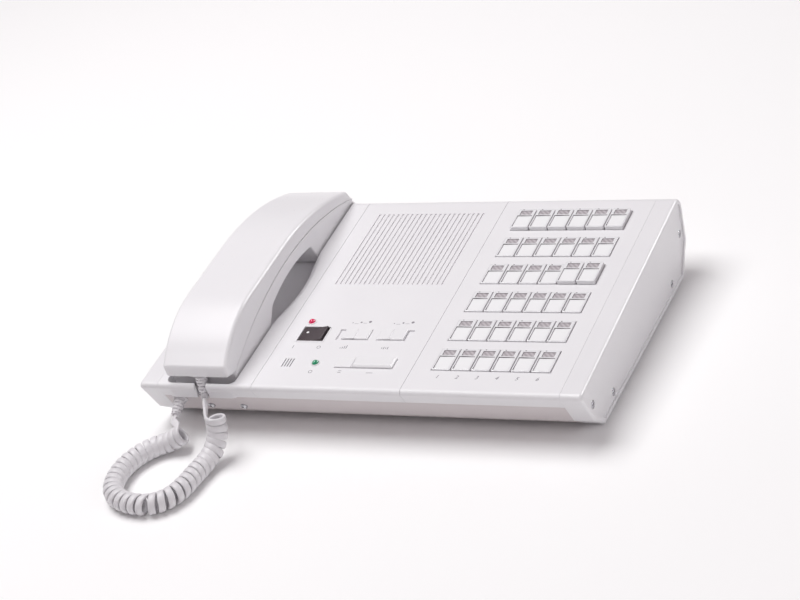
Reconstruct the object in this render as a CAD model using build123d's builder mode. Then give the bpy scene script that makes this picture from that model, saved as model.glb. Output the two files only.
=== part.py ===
from build123d import *
import os
from math import asin, cos, degrees, pi, radians, sin, sqrt, tan

# Intercom master station: a sloping desk case of three modules between two end caps, with a handset
# in a basin on the left, controls and a loudspeaker grille in the middle, and rows of latching
# station keys on the right. Millimetres. X runs along the width, Y to the back and Z up, from an
# origin on the table under the middle of the case.

# Case: driving sizes
end_cap_width = 14.8
cradle_width = 75.0
module_width = 112.7
panel_depth = 222.0
panel_tilt = 4.0
front_height = 41.0
cap_bottom = 2.0
tray_bottom = 4.5
wall = 2.5
seam = 0.3
clearance = 0.3
overrun = 5.0
skirt_drop = 12.0
nose_drop = 28.0
front_lean_share = 0.40
back_drop = 33.0
back_lean_share = 0.24
front_edge_radius = 3.0
back_edge_radius = 8.0

# End caps, their screws and the feet
cap_skin = 4.0
cap_rim = 3.6
cap_recess = 1.2
cap_edge_radius = 1.8
cap_boss_size = 7.2
front_screw_inset = 16.5
cap_front_screw_drop = 18.5
back_screw_inset = 15.0
cap_back_screw_drop = 24.3
low_front_screw_inset = 48.0
low_back_screw_inset = 47.3
low_screw_rise = 8.0
screw_radius = 1.5
screw_head_radius = 2.6
screw_head_height = 1.6
tray_screw_insets = (32.2, 58.2)
tray_screw_drop = 23.5
foot_radius = 7.0
foot_inset_x = 24.0
foot_inset_y = 42.0

# Handset basin in the cradle cover
basin_left_margin = 6.2
basin_right_margin = 14.4
basin_front = 4.0
basin_back_margin = 4.5
basin_drop = 9.0
basin_skin = 2.0
basin_corner_radius = 5.0
cord_notch_width = 9.6
cord_notch_depth = 7.0
scoop_radius = 9.6
scoop_lift = 0.2
scoop_reach = 7.5
scoop_end_margin = 8.0
hook_aside = 14.6
hook_depth = 19.0
hook_width = 5.0
hook_length = 8.0
hook_height = 16.0
hook_guide_wall = 1.6
hook_guide_drop = 16.0

# Loudspeaker and its grille, placed from the middle and the back of the main cover
grille_aside = 0.5
grille_back = 64.0
grille_slots = 23
grille_margin = 14.6
grille_slot_width = 1.6
grille_slot_length = 84.0
speaker_radius = 38.5
speaker_flange = 2.0
speaker_cone_radius = 33.0
speaker_throat_radius = 12.0
speaker_basket_depth = 13.0
speaker_basket_skin = 1.5
magnet_radius = 19.0
magnet_height = 9.0
cone_skin = 0.8
dust_cap_radius = 11.0

# Controls, placed across the main cover as shares of its width, and from its front
control_row_y = 59.5
rocker_x_share = 0.2045
rocker_opening_width = 20.5
rocker_opening_depth = 15.5
rocker_half_length = 9.2
rocker_crown = 6.0
rocker_waist = 4.9
rocker_floor = 2.4
rocker_pivot_drop = 5.2
rocker_hub_radius = 2.4
rocker_tip = 5.0
rocker_switch_height = 7.5
voice_x_share = 0.4854
tone_x_share = 0.7644
pocket_width = 25.0
pocket_depth = 11.4
pocket_drop = 1.1
knob_width = 20.0
knob_rise = 1.3
knob_bevel = 0.6
knob_groove_width = 0.7
knob_groove_depth = 0.5
knob_stem_width = 4.0
knob_stem_depth = 3.0
talk_x_share = 0.6783
talk_y = 29.4
talk_opening_width = 44.1
talk_opening_depth = 10.8
lock_width = 12.8
button_gap = 0.4
button_skirt = 6.0
talk_rise = 2.3
lock_rise = 1.0
talk_bevel = 1.3
lock_bevel = 0.5
button_stem_radius = 2.0
button_travel = 2.5
lamp_radius = 2.4
lamp_rise = 2.0
lamp_bevel = 1.2
power_lamp_x_share = 0.1411
power_lamp_y = 72.7
busy_lamp_x_share = 0.3416
busy_lamp_y = 28.5
mic_x_share = 0.1517
mic_y = 28.35
mic_slots = 4
mic_slot_pitch = 2.1
mic_slot_width = 0.9
mic_slot_length = 8.7
mic_radius = 4.6

# Main board
board_drop = 14.0
board_thickness = 1.6
board_margin = 4.85
board_depth = 68.0
board_front = 12.0
post_size = 5.0
post_inset_x = 5.0
post_inset_y = 18.0
slide_control_height = 6.0
slide_control_depth = 8.0
button_switch_width = 7.0

# Station keys, spread between margins on the key cover
key_columns = 6
key_rows = 6
key_left_margin = 14.15
key_right_margin = 13.29
key_front_margin = 23.98
key_back_margin = 21.27
key_gap = 0.5
key_depth = 22.0
key_height = 9.0
key_proud = 0.8
key_travel = 2.0
key_bevel = 0.7
key_groove_width = 0.6
key_groove_depth = 0.4
key_window_share = 0.68
key_stem_size = 5.0
key_stem_length = 11.0
raised_keys = (23, 24, 31, 32, 33, 34, 35, 36)
bank_margin = 5.0
bank_height = 14.0

# Handset, placed in the cradle and described across the panel
handset_gap = 1.45
handset_lip = 1.0
handset_overhang = 1.5
handset_front_low = 5.0
handset_front_high = 15.0
handset_crown = 34.3
crown_front = 55.0
crown_back = 115.0
handset_back_high = 10.5
handset_back_low = 1.8
handset_back_lean = 4.0
parting_bulge = 21.0
handset_edge = 2.5
top_face_share = 0.3
mouth_setback = 7.0
mouth_end = 62.0
grip_start = 80.0
grip_start_height = 9.0
grip_bulge = 4.0
grip_end_back = 72.0
grip_end_height = 10.0
ear_start_back = 66.0
ear_end_back = 10.0

# Strain reliefs and curly cord
relief_lean = 20.0
relief_aside = 0.8
flange_width = 10.0
flange_length = 6.0
flange_height = 1.2
relief_length = 13.0
relief_radius = 2.9
relief_tip_radius = 2.3
relief_ribs = 3
relief_groove_share = 0.35
relief_groove_depth = 0.5
base_relief_inset = 11.2
base_relief_drop = 16.0
wire_diameter = 3.0
wire_sides = 4
coil_radius = 5.8
coil_rest_gap = 0.2
base_curls = 20
handset_curls = 16.125
curl_knots = 2
loose_curl_share = 0.09
arc_run_share = 0.45
heading_step_share = 0.01
sample_step = 0.7
searched_curls = 3
coil_route = [
    (-128.3, -127.8, 6.2),
    (-137.4, -130.0, 1.1),
    (-148.2, -134.8, 0),
    (-156.0, -144.6, 0),
    (-160.4, -157.0, 0),
    (-160.4, -170.0, 0),
    (-156.6, -183.0, 0),
    (-146.8, -192.8, 0),
    (-132.5, -197.6, 0),
    (-118.0, -197.2, 0),
    (-107.4, -189.8, 0),
    (-102.8, -177.5, 0),
    (-101.9, -164.0, 0),
    (-99.9, -149.4, 0),
    (-97.3, -141.7, 3.2),
    (-95.3, -135.8, 9.2),
    (-94.1, -132.6, 17.2),
    (-93.8, -131.9, 25.4),
]

# Derived places
case_width = 2 * end_cap_width + cradle_width + 2 * module_width
tray_width = case_width - 2 * end_cap_width
main_start = end_cap_width + cradle_width
key_start = main_start + module_width
tilt = radians(panel_tilt)
corner = (-case_width / 2, -panel_depth * cos(tilt) / 2, front_height)
panel = Plane(origin=corner, x_dir=(1, 0, 0), z_dir=(0, -sin(tilt), cos(tilt)))
side = Plane(origin=corner, x_dir=panel.y_dir, z_dir=panel.x_dir)
front_normal = (panel.y_dir + panel.z_dir * front_lean_share) * -1
front_face = Plane(origin=corner, x_dir=panel.x_dir, z_dir=front_normal)
front_slant = sqrt(1 + front_lean_share**2)
rocker_x = module_width * rocker_x_share
voice_x = module_width * voice_x_share
tone_x = module_width * tone_x_share
talk_x = module_width * talk_x_share
mic_x = module_width * mic_x_share
power_lamp_x = module_width * power_lamp_x_share
busy_lamp_x = module_width * busy_lamp_x_share
grille_x = module_width / 2 + grille_aside
grille_y = panel_depth - grille_back
grille_pitch = (module_width - 2 * grille_margin) / (grille_slots - 1)
knob_travel = pocket_width - knob_width - 2 * clearance
knob_depth = pocket_depth - 2 * clearance
voice_knob_x = main_start + voice_x + knob_travel / 2
tone_knob_x = main_start + tone_x - knob_travel / 2
board_width = module_width - 2 * board_margin
board_x = main_start + module_width / 2
board_y = board_front + board_depth / 2
key_block_width = module_width - key_left_margin - key_right_margin
key_block_depth = panel_depth - key_front_margin - key_back_margin
key_block_left = key_start + key_left_margin
key_block_centre = (key_block_left + key_block_width / 2, key_front_margin + key_block_depth / 2)
key_pitch = key_block_width / key_columns
key_width = key_pitch - key_gap
row_pitch = (key_block_depth - key_depth) / (key_rows - 1)
bank_top = key_height - key_proud + clearance
bank_width = key_block_width + 2 * bank_margin
bank_depth = key_block_depth + 2 * bank_margin
basin_width = cradle_width - basin_left_margin - basin_right_margin
basin_x = end_cap_width + basin_left_margin + basin_width / 2
basin_length = panel_depth - basin_front - basin_back_margin
basin_y = basin_front + basin_length / 2
hook_place = (basin_x + hook_aside, hook_depth)
relief_x = basin_x + relief_aside
handset_width = basin_width - 2 * handset_gap
handset_front = basin_front + handset_lip
handset_back = basin_front + basin_length + handset_overhang
handset_floor = basin_drop - clearance
grip_end = handset_back - grip_end_back
ear_start = handset_back - ear_start_back
ear_end = handset_back - ear_end_back

os.makedirs("parts", exist_ok=True)


def level_drop(level, depth):
    """Distance from the panel to a level plane, square to the panel, at a depth from the front."""
    return (level - front_height) / cos(tilt) - depth * tan(tilt)


def section_outline(bottom):
    """Corners of the case's section across its width, with a level underside."""
    nose = nose_drop * front_lean_share
    heel = panel_depth - back_drop * back_lean_share
    chin_run = (-nose_drop - level_drop(bottom, nose)) / (1 - tan(tilt))
    toe_run = (-back_drop - level_drop(bottom, heel)) / (1 + tan(tilt))
    chin = (nose + chin_run, -nose_drop - chin_run)
    toe = (heel - toe_run, -back_drop - toe_run)
    return [(0, 0), (nose, -nose_drop), chin, toe, (heel, -back_drop), (panel_depth, 0)]


def case_section(start, bottom, inset=0):
    """Sketch of the case's section at a distance from its left end, drawn in all round by an inset."""
    with BuildSketch(side.offset(start)) as section:
        with BuildLine():
            Polyline(*section_outline(bottom), close=True)
        make_face()
        fillet(section.vertices().sort_by(Axis.X)[0], radius=front_edge_radius)
        fillet(section.vertices().sort_by(Axis.X)[-1], radius=back_edge_radius)
        if inset:
            offset(amount=-inset, kind=Kind.INTERSECTION, mode=Mode.REPLACE)
    return section.sketch


def cover_shell(start, width):
    """Build a top cover with a front and a back skirt, open at its sides."""
    extrude(case_section(start + seam / 2, tray_bottom), amount=width - seam)
    extrude(case_section(start + seam / 2, tray_bottom, wall), amount=width - seam, mode=Mode.SUBTRACT)
    split(bisect_by=panel.offset(-skirt_drop), keep=Keep.TOP)


def save(builder, name):
    """Label a finished piece and write it."""
    builder.part.label = name
    export_step(builder.part, f"parts/{name}.step")


# Screws of the end caps, from the top and from the level underside, and of the undercut front
low_front_screw = low_front_screw_inset
low_back_screw = panel_depth - low_back_screw_inset
cap_screw_places = [
    (front_screw_inset, -cap_front_screw_drop),
    (low_front_screw, level_drop(cap_bottom, low_front_screw) + low_screw_rise),
    (low_back_screw, level_drop(cap_bottom, low_back_screw) + low_screw_rise),
    (panel_depth - back_screw_inset, -cap_back_screw_drop),
]
tray_screw_slant = tray_screw_drop * front_slant
tray_screw_places = [(end_cap_width + inset, -tray_screw_slant) for inset in tray_screw_insets]

# Base tray with posts for the boards
board_post_x = board_width / 2 - post_inset_x
board_post_y = board_depth / 2 - post_inset_y
bank_post_x = bank_width / 2 - post_inset_x
bank_post_y = bank_depth / 2 - post_inset_y
with BuildPart() as base_tray:
    extrude(case_section(end_cap_width, tray_bottom), amount=tray_width)
    tray_hollow = case_section(end_cap_width + wall, tray_bottom, wall)
    extrude(tray_hollow, amount=tray_width - 2 * wall, mode=Mode.SUBTRACT)
    split(bisect_by=panel.offset(-skirt_drop), keep=Keep.BOTTOM)
    for post_y in (board_y - board_post_y, board_y + board_post_y):
        with BuildSketch(panel.offset(-board_drop - board_thickness)):
            with Locations((board_x - board_post_x, post_y), (board_x + board_post_x, post_y)):
                Rectangle(post_size, post_size)
        extrude(amount=level_drop(tray_bottom + wall / 2, post_y) + board_drop + board_thickness)
    bank_x, bank_y = key_block_centre
    for post_y in (bank_y - bank_post_y, bank_y + bank_post_y):
        with BuildSketch(panel.offset(-bank_top - bank_height)):
            with Locations((bank_x - bank_post_x, post_y), (bank_x + bank_post_x, post_y)):
                Rectangle(post_size, post_size)
        extrude(amount=level_drop(tray_bottom + wall / 2, post_y) + bank_top + bank_height)
    for end_wall in (end_cap_width, case_width - end_cap_width - wall):
        with BuildSketch(side.offset(end_wall)):
            with Locations(*cap_screw_places):
                Circle(screw_radius + clearance)
        extrude(amount=wall, mode=Mode.SUBTRACT)
    with BuildSketch(front_face):
        with Locations(*tray_screw_places):
            Circle(screw_radius + clearance)
    extrude(amount=-overrun, mode=Mode.SUBTRACT)
save(base_tray, "base_tray")

# End caps: the left one, and its mirror image
with BuildPart() as left_end_cap:
    extrude(case_section(0, cap_bottom), amount=end_cap_width)
    fillet(left_end_cap.faces().sort_by(Axis.X)[0].edges(), radius=cap_edge_radius)
    extrude(case_section(cap_skin, cap_bottom, wall), amount=end_cap_width, mode=Mode.SUBTRACT)
    extrude(case_section(0, cap_bottom, cap_rim), amount=cap_recess, mode=Mode.SUBTRACT)
    with BuildSketch(side.offset(cap_recess)):
        with Locations(*cap_screw_places):
            Rectangle(cap_boss_size, cap_boss_size)
    extrude(amount=end_cap_width - cap_recess)
    with BuildSketch(side.offset(cap_recess)):
        with Locations(*cap_screw_places):
            Circle(screw_radius + clearance)
    extrude(amount=end_cap_width, mode=Mode.SUBTRACT)
    with BuildSketch(side.offset(cap_recess)):
        with Locations(*cap_screw_places):
            Circle(screw_head_radius + clearance)
    extrude(amount=screw_head_height, mode=Mode.SUBTRACT)
save(left_end_cap, "left_end_cap")

with BuildPart() as right_end_cap:
    mirror(left_end_cap.part, about=Plane.YZ)
save(right_end_cap, "right_end_cap")

# Screws: four through each end cap and two in the undercut front
with BuildPart() as case_screws:
    with BuildSketch(side.offset(cap_recess)):
        with Locations(*cap_screw_places):
            Circle(screw_head_radius)
    extrude(amount=screw_head_height)
    with BuildSketch(side.offset(cap_recess + screw_head_height)):
        with Locations(*cap_screw_places):
            Circle(screw_radius)
    extrude(amount=end_cap_width + wall - cap_recess - screw_head_height)
    mirror(about=Plane.YZ)
    with BuildSketch(front_face):
        with Locations(*tray_screw_places):
            Circle(screw_head_radius)
    extrude(amount=screw_head_height)
    with BuildSketch(front_face):
        with Locations(*tray_screw_places):
            Circle(screw_radius)
    extrude(amount=-wall)
save(case_screws, "case_screws")

# Rubber feet between the table and the tray
foot_places = [
    (foot_side * (case_width / 2 - foot_inset_x), (depth - panel_depth / 2) * cos(tilt))
    for foot_side in (-1, 1)
    for depth in (foot_inset_y, panel_depth - foot_inset_y)
]
with BuildPart() as rubber_feet:
    with BuildSketch(Plane.XY):
        with Locations(*foot_places):
            Circle(foot_radius)
    extrude(amount=tray_bottom)
save(rubber_feet, "rubber_feet")

# Cradle cover with the handset basin, its rim rolled over for the fingers, the cord notch and the hook's guide
scoop_start = grip_start - scoop_end_margin
scoop_length = grip_end + scoop_end_margin - scoop_start
scoop_sweep = (scoop_length**2 / 4 + scoop_reach**2) / (2 * scoop_reach)
scoop_turn = asin(scoop_length / 2 / scoop_sweep)
scoop_x = basin_x + basin_width / 2 + scoop_reach - scoop_sweep
scoop_drop = scoop_radius - scoop_lift
scoop_middle = scoop_sweep + sqrt(scoop_radius**2 - scoop_drop**2)
scoop_way = panel.x_dir * cos(scoop_turn) - panel.y_dir * sin(scoop_turn)
hook_guide_reach = clearance + hook_guide_wall
scoop_plane = Plane(
    origin=panel.from_local_coords((scoop_x, scoop_start + scoop_length / 2, 0)),
    x_dir=scoop_way,
    z_dir=scoop_way.cross(panel.z_dir),
)
scoop_axis = Axis(scoop_plane.origin, panel.z_dir)
with BuildPart() as cradle_cover:
    cover_shell(end_cap_width, cradle_width)
    with BuildSketch(panel.offset(-wall / 2)):
        with Locations((basin_x, basin_y)):
            RectangleRounded(
                basin_width + 2 * basin_skin,
                basin_length + 2 * basin_skin,
                basin_corner_radius + basin_skin,
            )
    extrude(amount=wall / 2 - basin_drop - basin_skin)
    with BuildSketch(scoop_plane):
        with Locations((scoop_middle, -scoop_drop)):
            Circle(scoop_radius)
            Circle(scoop_radius - basin_skin, mode=Mode.SUBTRACT)
        with Locations((scoop_middle, -wall / 2)):
            Rectangle(scoop_radius, basin_drop, align=(Align.MAX, Align.MAX), mode=Mode.INTERSECT)
    revolve(axis=scoop_axis, revolution_arc=degrees(2 * scoop_turn))
    with BuildSketch(panel.offset(-basin_drop)):
        with Locations(hook_place):
            Rectangle(hook_width + 2 * hook_guide_reach, hook_length + 2 * hook_guide_reach)
    extrude(amount=basin_drop - hook_guide_drop)
    with BuildSketch(panel.offset(-basin_drop)):
        with Locations((basin_x, basin_y)):
            RectangleRounded(basin_width, basin_length, basin_corner_radius)
    extrude(amount=basin_drop + overrun, mode=Mode.SUBTRACT)
    with BuildSketch(scoop_plane):
        with Locations((scoop_middle, clearance - basin_drop)):
            Rectangle(scoop_radius + overrun, basin_drop + overrun, align=(Align.MAX, Align.MIN))
        with Locations((scoop_middle, -scoop_drop)):
            Circle(scoop_radius, mode=Mode.SUBTRACT)
    revolve(axis=scoop_axis, revolution_arc=degrees(2 * scoop_turn), mode=Mode.SUBTRACT)
    with BuildSketch(panel.offset(-hook_guide_drop)):
        with Locations(hook_place):
            Rectangle(hook_width + 2 * clearance, hook_length + 2 * clearance)
    extrude(amount=hook_guide_drop, mode=Mode.SUBTRACT)
    with BuildSketch(panel.offset(-skirt_drop)):
        with Locations((relief_x, cord_notch_depth)):
            Rectangle(cord_notch_width, cord_notch_depth + overrun, align=(Align.CENTER, Align.MAX))
    extrude(amount=skirt_drop + overrun, mode=Mode.SUBTRACT)
save(cradle_cover, "cradle_cover")

# Hook plunger, a sprung tab held down by the handset
with BuildPart() as hook_plunger:
    with BuildSketch(panel.offset(-basin_drop)):
        with Locations(hook_place):
            Rectangle(hook_width, hook_length)
    extrude(amount=-hook_height)
    chamfer(hook_plunger.faces().sort_by(Axis.Z)[-1].edges(), length=clearance)
save(hook_plunger, "hook_plunger")

# Main cover with the grille and the openings of the controls
with BuildPart() as main_cover:
    cover_shell(main_start, module_width)
    with BuildSketch(panel):
        with Locations((main_start + grille_x, grille_y)):
            with GridLocations(grille_pitch, 0, grille_slots, 1):
                Rectangle(grille_slot_width, grille_slot_length)
        with Locations((main_start + mic_x, mic_y)):
            with GridLocations(mic_slot_pitch, 0, mic_slots, 1):
                Rectangle(mic_slot_width, mic_slot_length)
        with Locations((main_start + rocker_x, control_row_y)):
            Rectangle(rocker_opening_width, rocker_opening_depth)
        with Locations((main_start + talk_x, talk_y)):
            Rectangle(talk_opening_width, talk_opening_depth)
        with Locations((main_start + power_lamp_x, power_lamp_y), (main_start + busy_lamp_x, busy_lamp_y)):
            Circle(lamp_radius + clearance)
        with Locations((main_start + voice_x, control_row_y), (main_start + tone_x, control_row_y)):
            Rectangle(knob_stem_width + knob_travel + 2 * clearance, knob_stem_depth + 2 * clearance)
    extrude(amount=-wall, mode=Mode.SUBTRACT)
    with BuildSketch(panel):
        with Locations((main_start + voice_x, control_row_y), (main_start + tone_x, control_row_y)):
            Rectangle(pocket_width, pocket_depth)
    extrude(amount=-pocket_drop, mode=Mode.SUBTRACT)
save(main_cover, "main_cover")

# Loudspeaker: the frame with its magnet, and the paper cone on the frame's flange
speaker_plane = Plane(
    origin=panel.from_local_coords((main_start + grille_x, grille_y, -wall)),
    x_dir=panel.x_dir,
    z_dir=panel.z_dir,
)
speaker_section = Plane(origin=speaker_plane.origin, x_dir=panel.x_dir, z_dir=panel.y_dir * -1)
speaker_axis = Axis(speaker_plane.origin, panel.z_dir)
basket_low = -speaker_flange - speaker_basket_depth
with BuildPart() as loudspeaker:
    with BuildSketch(speaker_section):
        with BuildLine():
            Polyline(
                (speaker_cone_radius, 0),
                (speaker_radius, 0),
                (speaker_radius, -speaker_flange),
                (speaker_cone_radius + speaker_basket_skin, -speaker_flange),
                (magnet_radius, basket_low),
                (magnet_radius, basket_low - magnet_height),
                (0, basket_low - magnet_height),
                (0, basket_low),
                (speaker_throat_radius, basket_low),
                (speaker_cone_radius, -speaker_flange),
                close=True,
            )
        make_face()
    revolve(axis=speaker_axis)
    with BuildSketch(speaker_section):
        with BuildLine():
            Polyline(
                (speaker_cone_radius - clearance, -clearance),
                (dust_cap_radius, basket_low + 2 * speaker_flange),
                (0, basket_low + 2 * speaker_flange + magnet_height / 2),
                (0, basket_low + 2 * speaker_flange + magnet_height / 2 - cone_skin),
                (dust_cap_radius, basket_low + 2 * speaker_flange - cone_skin),
                (speaker_cone_radius - clearance, -clearance - cone_skin),
                close=True,
            )
        make_face()
    revolve(axis=speaker_axis)
save(loudspeaker, "loudspeaker")

# Main board with the parts soldered to it, among them the rocker's switch with a trough for its hub
rocker_front = control_row_y - rocker_opening_depth / 2
rocker_section = Plane(
    origin=panel.from_local_coords((main_start + rocker_x, rocker_front, -rocker_pivot_drop)),
    x_dir=panel.x_dir,
    z_dir=panel.y_dir * -1,
)
with BuildPart() as main_board:
    with BuildSketch(panel.offset(-board_drop - board_thickness)):
        with Locations((board_x, board_y)):
            Rectangle(board_width, board_depth)
    extrude(amount=board_thickness)
    with BuildSketch(panel.offset(-board_drop)):
        with Locations((main_start + voice_x, control_row_y), (main_start + tone_x, control_row_y)):
            Rectangle(pocket_width, slide_control_depth)
    extrude(amount=slide_control_height)
    with BuildSketch(panel.offset(-board_drop)):
        with Locations((main_start + voice_x, control_row_y), (main_start + tone_x, control_row_y)):
            Rectangle(knob_stem_width + knob_travel + 2 * clearance, knob_stem_depth + 2 * clearance)
    extrude(amount=slide_control_height, mode=Mode.SUBTRACT)
    with BuildSketch(panel.offset(-board_drop)):
        with Locations((main_start + mic_x, mic_y)):
            Circle(mic_radius)
    extrude(amount=board_drop - wall - clearance)
    with BuildSketch(panel.offset(-board_drop)):
        with Locations(
            (main_start + talk_x - talk_opening_width / 2 + lock_width / 2, talk_y),
            (main_start + talk_x + lock_width / 2, talk_y),
        ):
            Rectangle(button_switch_width, button_switch_width)
    extrude(amount=board_drop - button_skirt - 2 * button_travel - clearance)
    with BuildSketch(panel.offset(-board_drop)):
        with Locations((main_start + rocker_x, control_row_y)):
            Rectangle(rocker_opening_width - 2 * wall, rocker_opening_depth - wall)
    extrude(amount=rocker_switch_height)
    with BuildSketch(rocker_section):
        Circle(rocker_hub_radius + clearance)
    extrude(amount=-rocker_opening_depth, mode=Mode.SUBTRACT)
save(main_board, "main_board")

# Power rocker, resting with its left half pressed
rocker_angle = radians(rocker_tip)
rocker_plane = Plane(
    origin=rocker_section.offset(-clearance).origin,
    x_dir=panel.x_dir * cos(rocker_angle) + panel.z_dir * sin(rocker_angle),
    z_dir=rocker_section.z_dir,
)
with BuildPart() as power_rocker:
    with BuildSketch(rocker_plane):
        with BuildLine():
            Polyline(
                (-rocker_half_length, rocker_floor),
                (-rocker_half_length, rocker_crown),
                (0, rocker_waist),
                (rocker_half_length, rocker_crown),
                (rocker_half_length, rocker_floor),
                (rocker_hub_radius, 0),
                (-rocker_hub_radius, 0),
                close=True,
            )
        make_face()
        Circle(rocker_hub_radius)
    extrude(amount=2 * clearance - rocker_opening_depth)
save(power_rocker, "power_rocker")

# Slide knobs: one at the right end of its travel, the other at the left end
for knob_name, knob_x in (("voice_knob", voice_knob_x), ("tone_knob", tone_knob_x)):
    with BuildPart() as knob:
        with BuildSketch(panel.offset(clearance - pocket_drop)):
            with Locations((knob_x, control_row_y)):
                Rectangle(knob_width, knob_depth)
        extrude(amount=knob_rise + pocket_drop - clearance)
        chamfer(knob.faces().sort_by(Axis.Z)[-1].edges(), length=knob_bevel)
        with BuildSketch(panel.offset(knob_rise)):
            with Locations((knob_x, control_row_y)):
                Rectangle(knob_groove_width, knob_depth)
        extrude(amount=-knob_groove_depth, mode=Mode.SUBTRACT)
        with BuildSketch(panel.offset(clearance - pocket_drop)):
            with Locations((knob_x, control_row_y)):
                Rectangle(knob_stem_width, knob_stem_depth)
        extrude(amount=pocket_drop - board_drop + slide_control_height / 2)
    save(knob, knob_name)

# Lock button and talk bar, side by side in one opening
talk_width = talk_opening_width - lock_width - button_gap - 2 * clearance
opening_left = main_start + talk_x - talk_opening_width / 2 + clearance
button_sizes = (
    ("lock_button", opening_left + lock_width / 2, lock_width, lock_rise, lock_bevel),
    ("talk_bar", opening_left + lock_width + button_gap + talk_width / 2, talk_width, talk_rise, talk_bevel),
)
for button_name, button_x, button_width, button_rise, button_bevel in button_sizes:
    with BuildPart() as button:
        with BuildSketch(panel.offset(-button_skirt)):
            with Locations((button_x, talk_y)):
                Rectangle(button_width, talk_opening_depth - 2 * clearance)
        extrude(amount=button_skirt + button_rise)
        chamfer(button.faces().sort_by(Axis.Z)[-1].edges(), length=button_bevel)
        with BuildSketch(panel.offset(-button_skirt)):
            with Locations((button_x, talk_y)):
                Circle(button_stem_radius)
        extrude(amount=-button_travel)
    save(button, button_name)

# Lamps standing on the main board
lamp_places = (("power_lamp", power_lamp_x, power_lamp_y), ("busy_lamp", busy_lamp_x, busy_lamp_y))
for lamp_name, lamp_x, lamp_y in lamp_places:
    with BuildPart() as lamp:
        with BuildSketch(panel.offset(-board_drop)):
            with Locations((main_start + lamp_x, lamp_y)):
                Circle(lamp_radius)
        extrude(amount=board_drop + lamp_rise)
        chamfer(lamp.edges().filter_by(GeomType.CIRCLE).sort_by(Axis.Z)[-1], length=lamp_bevel)
    save(lamp, lamp_name)

# Key cover with one opening for each row of keys
with BuildPart() as key_cover:
    cover_shell(key_start, module_width)
    with BuildSketch(panel):
        with Locations(key_block_centre):
            with GridLocations(0, row_pitch, 1, key_rows):
                Rectangle(key_block_width + clearance, key_depth + 2 * clearance)
    extrude(amount=-wall, mode=Mode.SUBTRACT)
save(key_cover, "key_cover")

# Key switch bank, a guide block with a hole for each key's stem
with BuildPart() as key_switch_bank:
    with BuildSketch(panel.offset(-bank_top)):
        with Locations(key_block_centre):
            Rectangle(bank_width, bank_depth)
            with GridLocations(key_pitch, row_pitch, key_columns, key_rows):
                Rectangle(key_stem_size + 2 * clearance, key_stem_size + 2 * clearance, mode=Mode.SUBTRACT)
    extrude(amount=-bank_height)
save(key_switch_bank, "key_switch_bank")

# Station keys, numbered from the front left, some raised and the rest latched down
for key_number in range(1, key_rows * key_columns + 1):
    key_row, key_column = divmod(key_number - 1, key_columns)
    key_x = key_block_left + key_column * key_pitch + key_pitch / 2
    key_y = key_front_margin + key_row * row_pitch + key_depth / 2
    key_top = key_proud + key_travel if key_number in raised_keys else key_proud
    with BuildPart() as station_key:
        with BuildSketch(panel.offset(key_top - key_height)):
            with Locations((key_x, key_y)):
                Rectangle(key_width, key_depth)
        extrude(amount=key_height)
        chamfer(station_key.faces().sort_by(Axis.Z)[-1].edges(), length=key_bevel)
        with BuildSketch(panel.offset(key_top)):
            with Locations((key_x, key_y - key_depth / 2 + key_depth * key_window_share)):
                Rectangle(key_width, key_groove_width)
        extrude(amount=-key_groove_depth, mode=Mode.SUBTRACT)
        with BuildSketch(panel.offset(key_top - key_height)):
            with Locations((key_x, key_y)):
                Rectangle(key_stem_size, key_stem_size)
        extrude(amount=-key_stem_length)
    save(station_key, f"station_key_{key_number:02d}")

# Handset: an upper shell on a lower shell, parted along an arch
handset_start = basin_x - handset_width / 2
mouth_drop = mouth_setback * tan(radians(relief_lean))
parting_front = (handset_front + mouth_setback, handset_front_low - mouth_drop)
parting_back = (handset_back, handset_back_low)
front_top = (handset_front, handset_front_high)
back_top = (handset_back - handset_back_lean, handset_back_high)
with BuildPart() as handset_upper_shell:
    with BuildSketch(side.offset(handset_start)):
        with BuildLine():
            Line(parting_front, (handset_front, handset_front_low))
            Line((handset_front, handset_front_low), front_top)
            TangentArc((crown_front, handset_crown), front_top, tangent=(-1, 0))
            Line((crown_front, handset_crown), (crown_back, handset_crown))
            TangentArc((crown_back, handset_crown), back_top, tangent=(1, 0))
            Line(back_top, parting_back)
            SagittaArc(parting_back, parting_front, -parting_bulge)
        make_face()
    extrude(amount=handset_width)
    top_faces = handset_upper_shell.faces().filter_by(lambda face: face.normal_at().Z > top_face_share)
    chamfer(top_faces.edges().filter_by(Axis.X, reverse=True), length=handset_edge)
save(handset_upper_shell, "handset_upper_shell")

with BuildPart() as handset_lower_shell:
    with BuildSketch(side.offset(handset_start)):
        with BuildLine():
            Polyline(
                (grip_start, grip_start_height),
                (mouth_end, -handset_floor),
                (parting_front[0], -handset_floor),
                parting_front,
            )
            SagittaArc(parting_front, parting_back, parting_bulge)
            Polyline(
                parting_back,
                (ear_end, -handset_floor),
                (ear_start, -handset_floor),
                (grip_end, grip_end_height),
            )
            SagittaArc((grip_end, grip_end_height), (grip_start, grip_start_height), -grip_bulge)
        make_face()
    extrude(amount=handset_width)
save(handset_lower_shell, "handset_lower_shell")


def relief_profile():
    """Half section of the ribbed sleeve, from its flange to its tip."""
    rib_pitch = (relief_length - flange_height) / (relief_ribs - relief_groove_share)
    profile = [(0, flange_height)]
    for rib in range(relief_ribs):
        radius = relief_radius + (relief_tip_radius - relief_radius) * rib / (relief_ribs - 1)
        low = flange_height + rib * rib_pitch
        high = low + rib_pitch * (1 - relief_groove_share)
        profile += [(radius - relief_groove_depth, low), (radius, low)]
        profile += [(radius, high), (radius - relief_groove_depth, high)]
    return profile + [(0, high)]


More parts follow.
